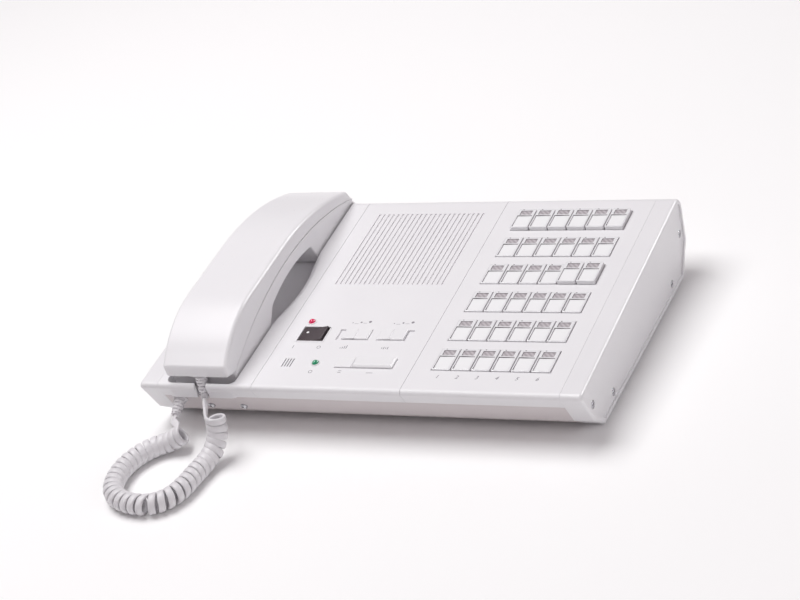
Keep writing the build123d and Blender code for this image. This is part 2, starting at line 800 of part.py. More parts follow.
# Strain reliefs: one under the handset's front edge, one on the tray's undercut front
relief_y = (handset_front + parting_front[0]) / 2
relief_z = (handset_front_low + parting_front[1]) / 2
relief_angle = radians(relief_lean)
handset_relief_plane = Plane(
    origin=panel.from_local_coords((relief_x, relief_y, relief_z)),
    x_dir=panel.x_dir,
    z_dir=panel.y_dir * -sin(relief_angle) - panel.z_dir * cos(relief_angle),
)
base_relief_x = end_cap_width + base_relief_inset
base_relief_plane = Plane(
    origin=front_face.from_local_coords((base_relief_x, -base_relief_drop * front_slant)),
    x_dir=panel.x_dir,
    z_dir=front_face.z_dir,
)
relief_planes = (
    ("handset_strain_relief", handset_relief_plane),
    ("base_strain_relief", base_relief_plane),
)
for relief_name, relief_plane in relief_planes:
    with BuildPart() as strain_relief:
        with BuildSketch(relief_plane):
            Rectangle(flange_width, flange_length)
        extrude(amount=flange_height)
        with BuildSketch(Plane(relief_plane.origin, x_dir=panel.x_dir, z_dir=relief_plane.y_dir * -1)):
            with BuildLine():
                Polyline(*relief_profile(), close=True)
            make_face()
        revolve(axis=Axis(relief_plane.origin, relief_plane.z_dir))
    save(strain_relief, relief_name)

# Curly cord: the coil's centreline lies on the table and rises at both ends, as runs joined by large arcs
coil_height = coil_radius + wire_diameter / 2 + coil_rest_gap
route = [Vector(x, y, coil_height + rise) for x, y, rise in coil_route]
route_radii = []
for before, point, after in zip(route, route[1:], route[2:]):
    half_turn = radians((point - before).get_angle(after - point)) / 2
    shorter_run = min((point - before).length, (after - point).length)
    route_radii.append(arc_run_share * shorter_run / tan(half_turn))
with BuildLine() as centreline:
    FilletPolyline(*route, radius=route_radii)
coil_axis = centreline.wire()
coil_length = coil_axis.length
curls = base_curls + handset_curls
base_length = coil_length * base_curls / curls
print("cord bend radii", [round(radius, 1) for radius in route_radii])


def limb_reach(turns_share):
    """Share of a limb's length, from the loop's loosest curl, at which a share of its turns is wound."""
    span = sqrt(1 + loose_curl_share**2) - loose_curl_share
    return sqrt((loose_curl_share + turns_share * span) ** 2 - loose_curl_share**2)


def coil_point(curl):
    """Point of the wire's middle after a number of curls from the base's end."""
    if curl <= base_curls:
        place = base_length * (1 - limb_reach(1 - curl / base_curls))
    else:
        place = base_length + (coil_length - base_length) * limb_reach((curl - base_curls) / handset_curls)
    angle = 2 * pi * curl
    middle = coil_axis.position_at(place, PositionMode.LENGTH)
    along = coil_axis.tangent_at(place, PositionMode.LENGTH)
    across = Vector(-along.Y, along.X, 0).normalized()
    return middle + (along.cross(across) * cos(angle) + across * sin(angle)) * coil_radius


def coil_heading(curl):
    """Direction of the wire after a number of curls."""
    ahead = coil_point(min(curl + heading_step_share, curls))
    behind = coil_point(max(curl - heading_step_share, 0))
    return (ahead - behind).normalized()


def biarc(start, start_heading, end, end_heading):
    """Join two points by two arcs that follow a heading at each end."""
    chord = end - start
    headings = start_heading + end_heading
    spread = 2 * (1 - start_heading.dot(end_heading))
    along = chord.dot(headings)
    reach = (sqrt(along**2 + spread * chord.dot(chord)) - along) / spread
    start_corner = start + start_heading * reach
    end_corner = end - end_heading * reach
    middle = (start_corner + end_corner) / 2
    TangentArc(start, middle, tangent=start_heading)
    TangentArc(middle, end, tangent=end_corner - start_corner)


base_end = base_relief_plane.from_local_coords((0, 0, relief_length))
handset_end = handset_relief_plane.from_local_coords((0, 0, relief_length))
base_lead = Vector(*base_end) + base_relief_plane.z_dir * wire_diameter
handset_lead = Vector(*handset_end) + handset_relief_plane.z_dir * wire_diameter
knots = [number / curl_knots for number in range(int(curls * curl_knots) + 1)]
if knots[-1] < curls:
    knots.append(curls)
stops = [(base_lead, base_relief_plane.z_dir)]
stops += [(coil_point(knot), coil_heading(knot)) for knot in knots]
stops += [(handset_lead, handset_relief_plane.z_dir * -1)]
with BuildPart() as curly_cord:
    with BuildLine() as wire_path:
        Line(base_end, base_lead)
        for (start, start_heading), (end, end_heading) in zip(stops, stops[1:]):
            biarc(start, start_heading, end, end_heading)
        Line(handset_lead, handset_end)
    with BuildSketch(Plane(origin=base_end, x_dir=panel.x_dir, z_dir=base_relief_plane.z_dir)):
        RegularPolygon(wire_diameter / 2, wire_sides)
    sweep(clean=False)
save(curly_cord, "curly_cord")

# Least gap of the wire to itself, measured on points along its middle
path = wire_path.wire()
samples = int(path.length / sample_step)
points = [path.position_at(number / samples, PositionMode.PARAMETER) for number in range(samples + 1)]
turn_points = int(pi * coil_radius / sample_step)
search_points = 2 * turn_points * searched_curls
least_gap = min(
    (points[first] - points[second]).length
    for first in range(len(points))
    for second in range(first + turn_points, min(first + search_points, len(points)))
) - wire_diameter
print("wire length", round(path.length, 1), "curls", curls, "least gap to itself", round(least_gap, 2))
print("lowest wire point", round(curly_cord.part.bounding_box().min.Z, 2))
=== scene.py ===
"""Looks of an intercom master station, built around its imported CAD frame.

Sizes are in millimetres and are turned to metres where a mesh is made. Places on the sloping top are
given in the panel's own frame: x from the left end, y from the front edge, z square to the panel.
"""

import logging
import math
from collections.abc import Iterable, Sequence
from dataclasses import dataclass
from enum import Enum

import bmesh
import bpy
from mathutils import Matrix, Vector


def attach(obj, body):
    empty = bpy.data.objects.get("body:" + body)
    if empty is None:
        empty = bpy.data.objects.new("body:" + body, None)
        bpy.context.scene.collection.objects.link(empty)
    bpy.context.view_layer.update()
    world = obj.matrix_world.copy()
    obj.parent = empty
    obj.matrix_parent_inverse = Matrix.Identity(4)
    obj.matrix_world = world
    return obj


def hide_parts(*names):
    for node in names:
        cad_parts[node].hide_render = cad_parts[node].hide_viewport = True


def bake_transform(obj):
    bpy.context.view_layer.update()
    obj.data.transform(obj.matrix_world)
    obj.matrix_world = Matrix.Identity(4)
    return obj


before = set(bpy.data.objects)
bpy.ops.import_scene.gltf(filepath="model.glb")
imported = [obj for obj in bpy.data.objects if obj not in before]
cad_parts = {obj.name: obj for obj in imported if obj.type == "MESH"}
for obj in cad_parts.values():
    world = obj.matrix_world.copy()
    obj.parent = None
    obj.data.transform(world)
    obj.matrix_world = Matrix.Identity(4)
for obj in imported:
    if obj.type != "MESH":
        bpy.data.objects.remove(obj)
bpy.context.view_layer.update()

MM = 0.001
log = logging.getLogger("intercom")

Point2 = tuple[float, float]
Point3 = tuple[float, float, float]
Shape = bmesh.types.BMesh
Tree = bpy.types.NodeTree
Socket = bpy.types.NodeSocket

# Faces around turned pieces, and across a fine, a usual and a broad rounding.
TURNED_SIDES = 32
FINE_STEPS = 2
ROUND_STEPS = 3
BROAD_STEPS = 5
# Least roughness of any finish.
LEAST_ROUGHNESS = 0.02
# Metres within which two points count as one.
TOUCH = 1e-6
# How a CAD node is readied for a soft edge: two angles in degrees, then the weight of large faces.
FLAT_DEGREES = 0.5
SHARP_DEGREES = 28.0
EVEN_WEIGHT = 80
# Millimetres within which a point counts as lying on a face.
ON_FACE = 1e-4
# Radians between two faces from which a key's edge is a corner, and from which it is rounded.
CORNER_ANGLE = 0.5
EDGE_ANGLE = 0.8
# Share of a whole length or of a unit normal that counts as nearly all of it.
NEARLY = 0.9
# Lays an upright prism down along X, with its outline in Y and Z.
LAID_DOWN = Matrix(((0, 0, 1, 0), (1, 0, 0, 0), (0, 1, 0, 0), (0, 0, 0, 1)))


class Body(Enum):
    """CAD bodies that the scene's own pieces ride on."""

    CASE = "case"
    HANDSET = "handset"
    ROCKER = "rocker"


class KeyState(Enum):
    """How far a station key stands out of its row."""

    LATCHED = "latched"
    RAISED = "raised"


class KeyPart(Enum):
    """Material numbers on a key's mesh."""

    CAP = 0
    LABEL = 1
    WINDOW = 2
    STEM = 3
    NOTCH_SHADE = 4
    RIM = 5


class LightUse(Enum):
    """What a studio light is there for."""

    LIGHT = "light"
    HIGHLIGHT = "highlight"


def linear(hex_colour: str) -> tuple[float, ...]:
    """Turn an sRGB hex colour such as "#edecee" to linear red, green and blue, and an alpha of one."""
    parts = [int(hex_colour[i : i + 2], 16) / 255 for i in (1, 3, 5)]
    return (*(c / 12.92 if c <= 0.04045 else ((c + 0.055) / 1.055) ** 2.4 for c in parts), 1.0)


def per_metre(size_mm: float) -> float:
    """Texture scale that repeats once in a real size."""
    return 1.0 / (size_mm * MM)


def add_node(tree: Tree, kind: str, inputs: dict | None = None, **settings: object) -> bpy.types.Node:
    """Add a shader node, set it and link it.

    Args:
        tree: Node tree of a material or a world.
        kind: Blender's name of the node type.
        inputs: Value, or output socket to link, for each input by name or number.
        **settings: Attributes of the node.

    Returns:
        The new node.
    """
    node = tree.nodes.new(kind)
    for name, value in settings.items():
        setattr(node, name, value)
    for key, value in (inputs or {}).items():
        if isinstance(value, Socket):
            tree.links.new(value, node.inputs[key])
        else:
            node.inputs[key].default_value = value
    return node


def noise(tree: Tree, place: Socket, size_mm: float, detail: float) -> Socket:
    """Cloudy pattern of a real size, from nought to one."""
    inputs = {"Vector": place, "Scale": per_metre(size_mm), "Detail": detail}
    return add_node(tree, "ShaderNodeTexNoise", inputs).outputs["Fac"]


def between(tree: Tree, share: Socket, first: str, last: str) -> Socket:
    """Colour between two sRGB hex colours, by the share of the second."""
    inputs = {"Factor": share, "A": linear(first), "B": linear(last)}
    return add_node(tree, "ShaderNodeMix", inputs, data_type="RGBA").outputs["Result"]


@dataclass(frozen=True)
class Finish:
    """One real material and the way its surface was made.

    The base colour drifts slowly between two close colours, the surface has a fine grain that also
    moves the roughness, and the rest are plain values of the shader.
    """

    name: str
    colour: str
    drift: str
    roughness: float
    roughness_spread: float = 0.06
    grain_mm: float = 0.8
    grain_depth_mm: float = 0.01
    drift_mm: float = 40.0
    metallic: float = 0.0
    ior: float = 1.5
    transmission: float = 0.0
    coat: float = 0.0
    coat_roughness: float = 0.05
    sheen: float = 0.0
    glow: float = 0.0
    grain_detail: float = 3.0
    drift_detail: float = 4.0

    def pattern(self, tree: Tree, place: Socket) -> Socket:
        """Height of the surface's grain, from nought to one."""
        return noise(tree, place, self.grain_mm, self.grain_detail)

    def shades(self, tree: Tree, place: Socket) -> Socket:
        """Colour that drifts between the finish's two colours."""
        cloud = noise(tree, place, self.drift_mm, self.drift_detail)
        return between(tree, cloud, self.colour, self.drift)

    def material(self) -> bpy.types.Material:
        """Blender material of this finish, made at its first use.

        Returns:
            The material.
        """
        made = bpy.data.materials.get(self.name)
        if made:
            return made
        made = bpy.data.materials.new(self.name)
        made.use_nodes = True
        tree = made.node_tree
        shader = tree.nodes["Principled BSDF"]
        place = add_node(tree, "ShaderNodeTexCoord").outputs["Object"]
        height = self.pattern(tree, place)
        low, high = self.roughness - self.roughness_spread, self.roughness + self.roughness_spread
        spread = {"Value": height, "To Min": max(low, LEAST_ROUGHNESS), "To Max": high}
        rough = add_node(tree, "ShaderNodeMapRange", spread)
        grain = {"Height": height, "Strength": 1.0, "Distance": self.grain_depth_mm * MM}
        bump = add_node(tree, "ShaderNodeBump", grain)
        tree.links.new(self.shades(tree, place), shader.inputs["Base Color"])
        tree.links.new(rough.outputs["Result"], shader.inputs["Roughness"])
        tree.links.new(bump.outputs["Normal"], shader.inputs["Normal"])
        constants = {
            "Metallic": self.metallic, "IOR": self.ior, "Transmission Weight": self.transmission,
            "Coat Weight": self.coat, "Coat Roughness": self.coat_roughness, "Sheen Weight": self.sheen,
        }
        if self.glow:
            constants |= {"Emission Color": linear(self.colour), "Emission Strength": self.glow}
        for name, value in constants.items():
            shader.inputs[name].default_value = value
        return made


@dataclass(frozen=True)
class RibbedFinish(Finish):
    """Finish with fine parallel lines, such as a lamp window's prisms or the painted reflections on a cut
    edge.
    """

    line_mm: float = 0.9
    waver: float = 0.4

    def pattern(self, tree: Tree, place: Socket) -> Socket:
        """Height of the lines, which run across the piece, from nought to one."""
        wave = {"Vector": place, "Scale": per_metre(self.line_mm) / (2 * math.pi), "Distortion": self.waver}
        return add_node(tree, "ShaderNodeTexWave", wave, bands_direction="DIAGONAL").outputs["Fac"]

    def shades(self, tree: Tree, place: Socket) -> Socket:
        """Colour that alternates with the lines."""
        return between(tree, self.pattern(tree, place), self.colour, self.drift)


# ABS moulded in a spark-eroded tool: an even off-white with a fine grain that breaks up its sheen.
# The real grain of moulded plastic, vinyl and rubber is about 0.1 mm and too fine to show. Here and
# below it is drawn at the size that each finish gives.
CASE_ABS = Finish("abs_moulded_fine_grain", "#ecebed", "#e6e5e8", 0.42, grain_mm=0.9, grain_depth_mm=0.02)
# ABS of the tray in the same tool grain, coloured warmer and darker than the covers as painted shade of the
# undercut below them.
TRAY_ABS_PAINTED_SHADE = Finish("abs_fine_grain_painted_shade", "#d8d1d2", "#d1cacb", 0.46, grain_mm=0.9, grain_depth_mm=0.02)
# ABS of the end caps, from a tool stoned smooth: their rounded rims carry a line of light.
CAP_ABS = Finish("abs_moulded_semi_gloss", "#ecebed", "#e6e5e8", 0.30, grain_mm=1.1, grain_depth_mm=0.003)
# ABS from a polished tool: smoother than the case, so edges carry a clear highlight.
HANDSET_ABS = Finish("abs_moulded_polished", "#eeedef", "#e9e8eb", 0.30, grain_mm=1.4, grain_depth_mm=0.012)
# ABS of the small controls, satin from handling: bright faces with a soft glint at their edges.
CONTROL_ABS = Finish("abs_moulded_satin", "#eeeeef", "#e8e7ea", 0.34, grain_mm=0.7, grain_depth_mm=0.012)
# Polycarbonate of the rocker, near black with a semi-gloss moulded face; the same black is also laid in the
# sound holes and the keys' notches as painted shade.
ROCKER_PC_AND_HOLE_SHADE = Finish("polycarbonate_black_and_hole_shade", "#33272c", "#3d3035", 0.32, grain_mm=0.6)
# Clear cast acrylic of the key caps and their fronts, polished: rims that pick up grey from below.
KEY_ACRYLIC = Finish(
    "acrylic_clear_polished", "#f6f6f8", "#eeeef1", 0.10, 0.03, grain_mm=2.0, grain_depth_mm=0.004, ior=1.49,
    transmission=0.08,
)
# Label card under a matt film, a quiet white that stays even from rim to rim.
KEY_LABEL = Finish("card_white_matt_film", "#f0f0f1", "#ebebed", 0.62, grain_mm=0.5, grain_depth_mm=0.004)
# Smoked styrene of the lamp windows, moulded with fine slanted prisms: grey, with a faint slanting line.
KEY_WINDOW = RibbedFinish("styrene_smoked_prismatic", "#a39ca1", "#c0babe", 0.48)
# Grey moulded acetal of the keys' sides and stems, darker than the clear caps as painted shade in the lines
# between the keys.
KEY_STEM_AND_GAP_SHADE = Finish("acetal_grey_gap_shade", "#d6d2d6", "#cac7ca", 0.45)
# Cut inner edge of the acrylic round the label, striped dark and light in turns as painted reflections and
# shade in the clear cap.
KEY_RIM_PAINTED_REFLECTION = RibbedFinish("acrylic_edge_painted_reflection", "#575056", "#b5b0b4", 0.35, grain_depth_mm=0.004, line_mm=4.0)
# Epoxy of the light-emitting diodes, cast and tinted red: a deep colour with a sharp gloss.
RED_EPOXY = Finish("epoxy_red_cast", "#d51a55", "#b8124c", 0.12, 0.04, 1.5, 0.004, 4.0, coat=1.0, glow=0.25)
# The same epoxy tinted green, which glows a little less.
GREEN_EPOXY = Finish(
    "epoxy_green_cast", "#149468", "#0d7c58", 0.12, 0.04, 1.5, 0.004, 4.0, coat=1.0, glow=0.12
)
# Soft vinyl extruded over the cord's wires and moulded on its reliefs: satin with a slight sheen.
CORD_VINYL = Finish("pvc_extruded_satin", "#e3e1e4", "#dad8db", 0.36, grain_mm=1.0, sheen=0.1)
# Steel screws with bright nickel plating: small sparks of light on the plain ends.
SCREW_NICKEL = Finish("steel_nickel_plated", "#cfcfd2", "#bdbdc2", 0.22, 0.08, 0.5, 0.006, 6.0, metallic=1.0)
# Nitrile rubber of the feet, moulded and matt: a dark stop under the pale case.
FOOT_RUBBER = Finish("nitrile_rubber_moulded", "#232324", "#2b2b2c", 0.8, grain_mm=0.6, grain_depth_mm=0.03)
# Pressed steel of the loudspeaker's frame, painted: a black that swallows light behind the slots.
SPEAKER_STEEL = Finish("steel_painted_black", "#2a2a2c", "#333335", 0.5, grain_mm=0.7, grain_depth_mm=0.02)
# Styrene sheet formed into the dust guard behind the grille, pale and matt, so the slots stay light.
GUARD_STYRENE = Finish("styrene_formed_matt", "#eae8ea", "#e2dfe2", 0.7, grain_mm=0.5, grain_depth_mm=0.03)
# Glass-epoxy laminate with solder mask: a flat green, seen only where the case is open.
BOARD_LAMINATE = Finish("glass_epoxy_solder_mask", "#2d5a3a", "#27502f", 0.35, grain_depth_mm=0.02)
# Moulded phenolic of the switch bank: a black that keeps the lines between the keys dark.
BANK_PHENOLIC = Finish("phenolic_black_moulded", "#26252a", "#2e2d31", 0.5)
# Pad-printed grey ink, thin and flat: quiet signs that don't shine.
PRINT_INK = Finish("ink_grey_pad_printed", "#858288", "#939097", 0.6, grain_mm=0.4, grain_depth_mm=0.004)
# Pad-printed white ink of the rocker's dot, the one bright spot on its dark face.
WHITE_INK = Finish("ink_white_pad_printed", "#f4f3f4", "#ebeaec", 0.5, grain_mm=0.4, grain_depth_mm=0.004)
# Painted board of the studio's sweep, pale and even.
FLOOR_PAINT = Finish("board_painted_white", "#fdfdfd", "#fbfbfb", 0.9, grain_mm=3.0, drift_mm=400.0)


@dataclass(frozen=True)
class Panel:
    """The case's sloping top, whose frame carries every place on it."""

    width: float = 330.0
    depth: float = 222.0
    front_height: float = 41.0
    tilt_degrees: float = 4.0
    end_cap_width: float = 14.8
    cradle_width: float = 75.0
    module_width: float = 112.7
    front_lean_share: float = 0.40

    @property
    def tilt(self) -> float:
        """Slope of the top in radians."""
        return math.radians(self.tilt_degrees)

    @property
    def main_start(self) -> float:
        """Left edge of the main cover."""
        return self.end_cap_width + self.cradle_width

    @property
    def key_start(self) -> float:
        """Left edge of the key cover."""
        return self.main_start + self.module_width

    def matrix(self, x: float = 0.0, y: float = 0.0, z: float = 0.0) -> Matrix:
        """Frame in metres at a place on the panel.

        Args:
            x: Distance from the left end.
            y: Distance from the front edge.
            z: Height square to the panel.

        Returns:
            Matrix with the panel's axes and that origin.
        """
        corner = Vector((-self.width / 2, -self.depth * math.cos(self.tilt) / 2, self.front_height)) * MM
        turn = Matrix.Rotation(self.tilt, 4, "X")
        return Matrix.Translation(corner) @ turn @ Matrix.Translation(Vector((x, y, z)) * MM)

    def front_matrix(self, x: float, drop: float) -> Matrix:
        """Frame on the undercut front, whose Z points out of it.

        Args:
            x: Distance from the left end.
            drop: Distance below the panel, square to it.

        Returns:
            Matrix in metres.
        """
        lean = math.atan(self.front_lean_share)
        foot = self.matrix(x, drop * self.front_lean_share, -drop)
        return foot @ Matrix.Rotation(math.pi / 2 + lean, 4, "X")


PANEL = Panel()


def smooth_shading(shape: Shape, limit_degrees: float = 35.0) -> None:
    """Shade a mesh smooth and keep its sharp edges.

    Args:
        shape: Mesh to shade.
        limit_degrees: Angle between faces above which an edge stays sharp.
    """
    for face in shape.faces:
        face.smooth = True
    for edge in shape.edges:
        edge.smooth = edge.calc_face_angle(0.0) < math.radians(limit_degrees)


def show(name: str, data: bpy.types.ID) -> bpy.types.Object:
    """Add an object to the scene.

    Args:
        name: Name of the object.
        data: Its mesh, curve, light or camera.

    Returns:
        The new object.
    """
    holder = bpy.data.objects.new(name, data)
    bpy.context.scene.collection.objects.link(holder)
    return holder


def to_mesh(name: str, shape: Shape, finishes: Sequence[Finish] = ()) -> bpy.types.Mesh:
    """Turn a shape into a mesh.

    Args:
        name: Name of the mesh.
        shape: The shape, in metres; it is freed.
        finishes: Finishes for its material numbers.

    Returns:
        The new mesh.
    """
    mesh = bpy.data.meshes.new(name)
    shape.to_mesh(mesh)
    shape.free()
    for finish in finishes:
        mesh.materials.append(finish.material())
    return mesh


def add_piece(
    name: str, shape: Shape, finishes: Sequence[Finish], body: Body, place: Matrix | None = None
) -> bpy.types.Object:
    """Turn a mesh into a finished piece that rides on a body.

    Args:
        name: Name of the piece.
        shape: Its mesh, in metres; it is freed.
        finishes: Finishes for the mesh's material numbers.
        body: CAD body that it moves with.
        place: Frame of the mesh, or none where it is in the shared frame.

    Returns:
        The new object.
    """
    bmesh.ops.recalc_face_normals(shape, faces=shape.faces)
    smooth_shading(shape)
    if place is not None:
        shape.transform(place)
    piece = show(name, to_mesh(name, shape, finishes))
    piece.modifiers.new("even", "WEIGHTED_NORMAL").keep_sharp = True
    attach(piece, body.value)
    log.info("piece %s on %s", name, body.value)
    return piece


def dress_node(node: str, finish: Finish, edge: float = 0.0) -> None:
    """Give a CAD node its finish and break its sharp edges.

    Args:
        node: Name of the CAD node.
        finish: Its finish.
        edge: Width of the rounding along its sharp edges, or nought for none.
    """
    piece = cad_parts[node]
    piece.data.materials.clear()
    piece.data.materials.append(finish.material())
    if edge:
        weld = piece.modifiers.new("weld", "WELD")
        weld.merge_threshold = TOUCH
        flat = piece.modifiers.new("flat", "DECIMATE")
        flat.decimate_type = "DISSOLVE"
        flat.angle_limit = math.radians(FLAT_DEGREES)
        soft = piece.modifiers.new("soft_edge", "BEVEL")
        soft.width = edge * MM
        soft.segments = ROUND_STEPS
        soft.limit_method = "ANGLE"
        soft.angle_limit = math.radians(SHARP_DEGREES)
        soft.use_clamp_overlap = False
        soft.miter_outer = "MITER_ARC"
        even = piece.modifiers.new("even", "WEIGHTED_NORMAL")
        even.weight = EVEN_WEIGHT
    log.info("node %s in %s", node, finish.name)


def bridge(shape: Shape, rings: Sequence[Sequence[bmesh.types.BMVert]]) -> None:
    """Join rings of points with faces, each ring to the next.

    Args:
        shape: Mesh that holds the points.
        rings: Rings of equally many points; a ring of one point closes an end.
    """
    sides = max(len(ring) for ring in rings)
    for low, high in zip(rings, rings[1:]):
        for i in range(sides):
            k = i + 1
            corners = [low[i % len(low)], low[k % len(low)], high[k % len(high)], high[i % len(high)]]
            unique = list(dict.fromkeys(corners))
            if len(unique) > 2:
                shape.faces.new(unique)


def lathe(profile: Iterable[Point2], sides: int) -> Shape:
    """Turn a profile about Z.

    Args:
        profile: Radius and height of each ring; a radius of nought closes an end.
        sides: Faces around.

    Returns:
        Mesh in metres.
    """
    shape = bmesh.new()
    rings: list[list[bmesh.types.BMVert]] = []
    for radius, height in profile:
        count = sides if radius else 1
        turns = [2 * math.pi * i / sides for i in range(count)]
        spots = [(radius * MM * math.cos(t), radius * MM * math.sin(t), height * MM) for t in turns]
        rings.append([shape.verts.new(spot) for spot in spots])
    bridge(shape, rings)
    return shape


def disc(radius: float, height: float, sides: int) -> Shape:
    """Flat round plate that stands on Z nought."""
    return lathe([(0.0, 0.0), (radius, 0.0), (radius, height), (0.0, height)], sides)


def prism(outline: Sequence[Point2], low: float, high: float) -> Shape:
    """Draw an outline up into a solid.

    Args:
        outline: Corners in order.
        low: Height of its underside.
        high: Height of its top.

    Returns:
        Mesh in metres.
    """
    shape = bmesh.new()
    ends = [[shape.verts.new(Vector((x, y, z)) * MM) for x, y in outline] for z in (low, high)]
    shape.faces.new(ends[0])
    shape.faces.new(reversed(ends[1]))
    bridge(shape, ends)
    return shape


def join(shapes: Iterable[Shape], places: Iterable[Matrix] | None = None) -> Shape:
    """Gather several meshes in one.

    Args:
        shapes: Meshes to gather; each is freed.
        places: A frame for each, or none where they stay as they are.

    Returns:
        One mesh.
    """
    whole = bmesh.new()
    listed = list(shapes)
    for shape, place in zip(listed, places or [Matrix.Identity(4)] * len(listed)):
        shape.transform(place)
        mesh = to_mesh("joined", shape)
        whole.from_mesh(mesh)
        bpy.data.meshes.remove(mesh)
    return whole


def arc(centre: Point2, radius: float, start: float, end: float, steps: int) -> list[Point2]:
    """Points along a circle from one angle in radians to another, with both ends."""
    angles = [start + (end - start) * i / steps for i in range(steps + 1)]
    return [(centre[0] + radius * math.cos(a), centre[1] + radius * math.sin(a)) for a in angles]


def sagitta_arc(start: Point2, end: Point2, rise: float, steps: int) -> list[Point2]:
    """Points along an arc given by its rise over the chord.

    Args:
        start: First point.
        end: Last point.
        rise: Height of the arc to the left of the chord.
        steps: Number of steps.

    Returns:
        Points with both ends.
    """
    first, last = Vector(start), Vector(end)
    chord = last - first
    half = chord.length / 2
    along = chord.normalized()
    left = Vector((-along.y, along.x))
    radius = (half**2 + rise**2) / (2 * rise)
    centre = (first + last) / 2 + left * (rise - radius)
    spread = math.asin(half / abs(radius))
    points = []
    for i in range(steps + 1):
        turn = spread * (2 * i / steps - 1)
        points.append(tuple(centre + along * abs(radius) * math.sin(turn) + left * radius * math.cos(turn)))
    return points


def rounded(corners: Sequence[tuple[float, float, float]], steps: int = 5) -> list[Point2]:
    """Outline whose corners are rounded.

    Args:
        corners: Place and rounding radius of each corner.
        steps: Faces across a rounding.

    Returns:
        Points of the outline.
    """
    points: list[Point2] = []
    count = len(corners)
    for i, (x, y, radius) in enumerate(corners):
        here = Vector((x, y))
        if not radius:
            points.append((x, y))
            continue
        before = (Vector(corners[i - 1][:2]) - here).normalized()
        after = (Vector(corners[(i + 1) % count][:2]) - here).normalized()
        half = before.angle(after) / 2
        centre = here + (before + after).normalized() * radius / math.sin(half)
        first = here + before * radius / math.tan(half) - centre
        last = here + after * radius / math.tan(half) - centre
        for k in range(steps + 1):
            share = k / steps
            sweep = first.angle_signed(last)
            turn = Matrix.Rotation(-sweep * share, 2)
            points.append(tuple(centre + turn @ first))
    return points


def round_off(
    shape: Shape, edges: Sequence[bmesh.types.BMEdge], size: float, segments: int, **options: object
) -> None:
    """Round edges of a mesh by a size in millimetres, with so many faces across."""
    options |= {"profile": 0.5, "affect": "EDGES"}
    bmesh.ops.bevel(shape, geom=edges, offset=size * MM, segments=segments, **options)


def block(width: float, depth: float, low: float, high: float, corner: float, bevel: float) -> Shape:
    """Block with rounded upright corners and a rounded top edge.

    Args:
        width: Size along X.
        depth: Size along Y.
        low: Height of its underside.
        high: Height of its top.
        corner: Radius of its upright corners.
        bevel: Radius of its top edge.

    Returns:
        Mesh in metres, centred on its middle.
    """
    x, y = width / 2, depth / 2
    outline = rounded([(-x, -y, corner), (x, -y, corner), (x, y, corner), (-x, y, corner)], ROUND_STEPS)
    shape = prism(outline, low, high)
    if bevel:
        top = [e for e in shape.edges if all(v.co.z > (high - ON_FACE) * MM for v in e.verts)]
        round_off(shape, top, bevel, ROUND_STEPS)
    return shape


@dataclass
class CaseShell:
    """Base tray, end caps, covers, feet and screws."""

    edge: float = 0.45
    screw_radius: float = 2.6
    screw_height: float = 1.6
    screw_shank_radius: float = 1.4
    screw_length: float = 8.0
    cross_half_width: float = 0.4
    cross_half_length: float = 1.6
    cross_depth: float = 0.8
    cross_from_share: float = 0.3
    head_rings: int = 9
    head_drop_share: float = 0.55
    head_power: int = 4
    cap_recess: float = 1.2
    cap_screws: tuple[Point2, ...] = ((16.5, 18.5), (48.0, 34.45), (174.7, 43.31), (207.0, 24.3))
    front_screws: tuple[Point2, ...] = ((47.0, 23.5), (73.0, 23.5))

    def screw(self) -> Shape:
        """Pan-head screw with a cross recess, its head standing on Z nought.

        Returns:
            Mesh in metres.
        """
        radius, height = self.screw_radius, self.screw_height
        shank, tip = self.screw_shank_radius, -self.screw_length
        profile = [(0.0, tip), (shank, tip), (shank, 0.0), (radius, 0.0)]
        for i in range(self.head_rings + 1):
            share = 1 - i / self.head_rings
            profile.append((radius * share, height * (1 - self.head_drop_share * share**self.head_power)))
        shape = lathe(profile, TURNED_SIDES)
        for vert in shape.verts:
            x, y = abs(vert.co.x) / MM, abs(vert.co.y) / MM
            in_cross = min(x, y) < self.cross_half_width and max(x, y) < self.cross_half_length
            if in_cross and vert.co.z > self.cross_from_share * height * MM:
                vert.co.z -= self.cross_depth * MM
        return shape

    def screws(self) -> None:
        """Build the screws of the end caps and of the undercut front."""
        places = []
        for depth, drop in self.cap_screws:
            head = self.cap_recess + self.screw_height
            left = PANEL.matrix(head, depth, -drop) @ Matrix.Rotation(-math.pi / 2, 4, "Y")
            right = PANEL.matrix(PANEL.width - head, depth, -drop) @ Matrix.Rotation(math.pi / 2, 4, "Y")
            places += [left, right]
        places += [PANEL.front_matrix(x, drop) for x, drop in self.front_screws]
        shape = join([self.screw() for _ in places], places)
        piece = add_piece("pan_head_screws", shape, [SCREW_NICKEL], Body.CASE)
        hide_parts("case_screws")

    def build(self) -> None:
        """Dress the shells and add the screws."""
        # The tray's darker, warmer colour is painted shade of the undercut.
        dress_node("base_tray", TRAY_ABS_PAINTED_SHADE, self.edge)
        for node in ("cradle_cover", "main_cover", "key_cover"):
            dress_node(node, CASE_ABS)
        for node in ("left_end_cap", "right_end_cap"):
            dress_node(node, CAP_ABS)
        dress_node("rubber_feet", FOOT_RUBBER, self.edge)
        self.screws()


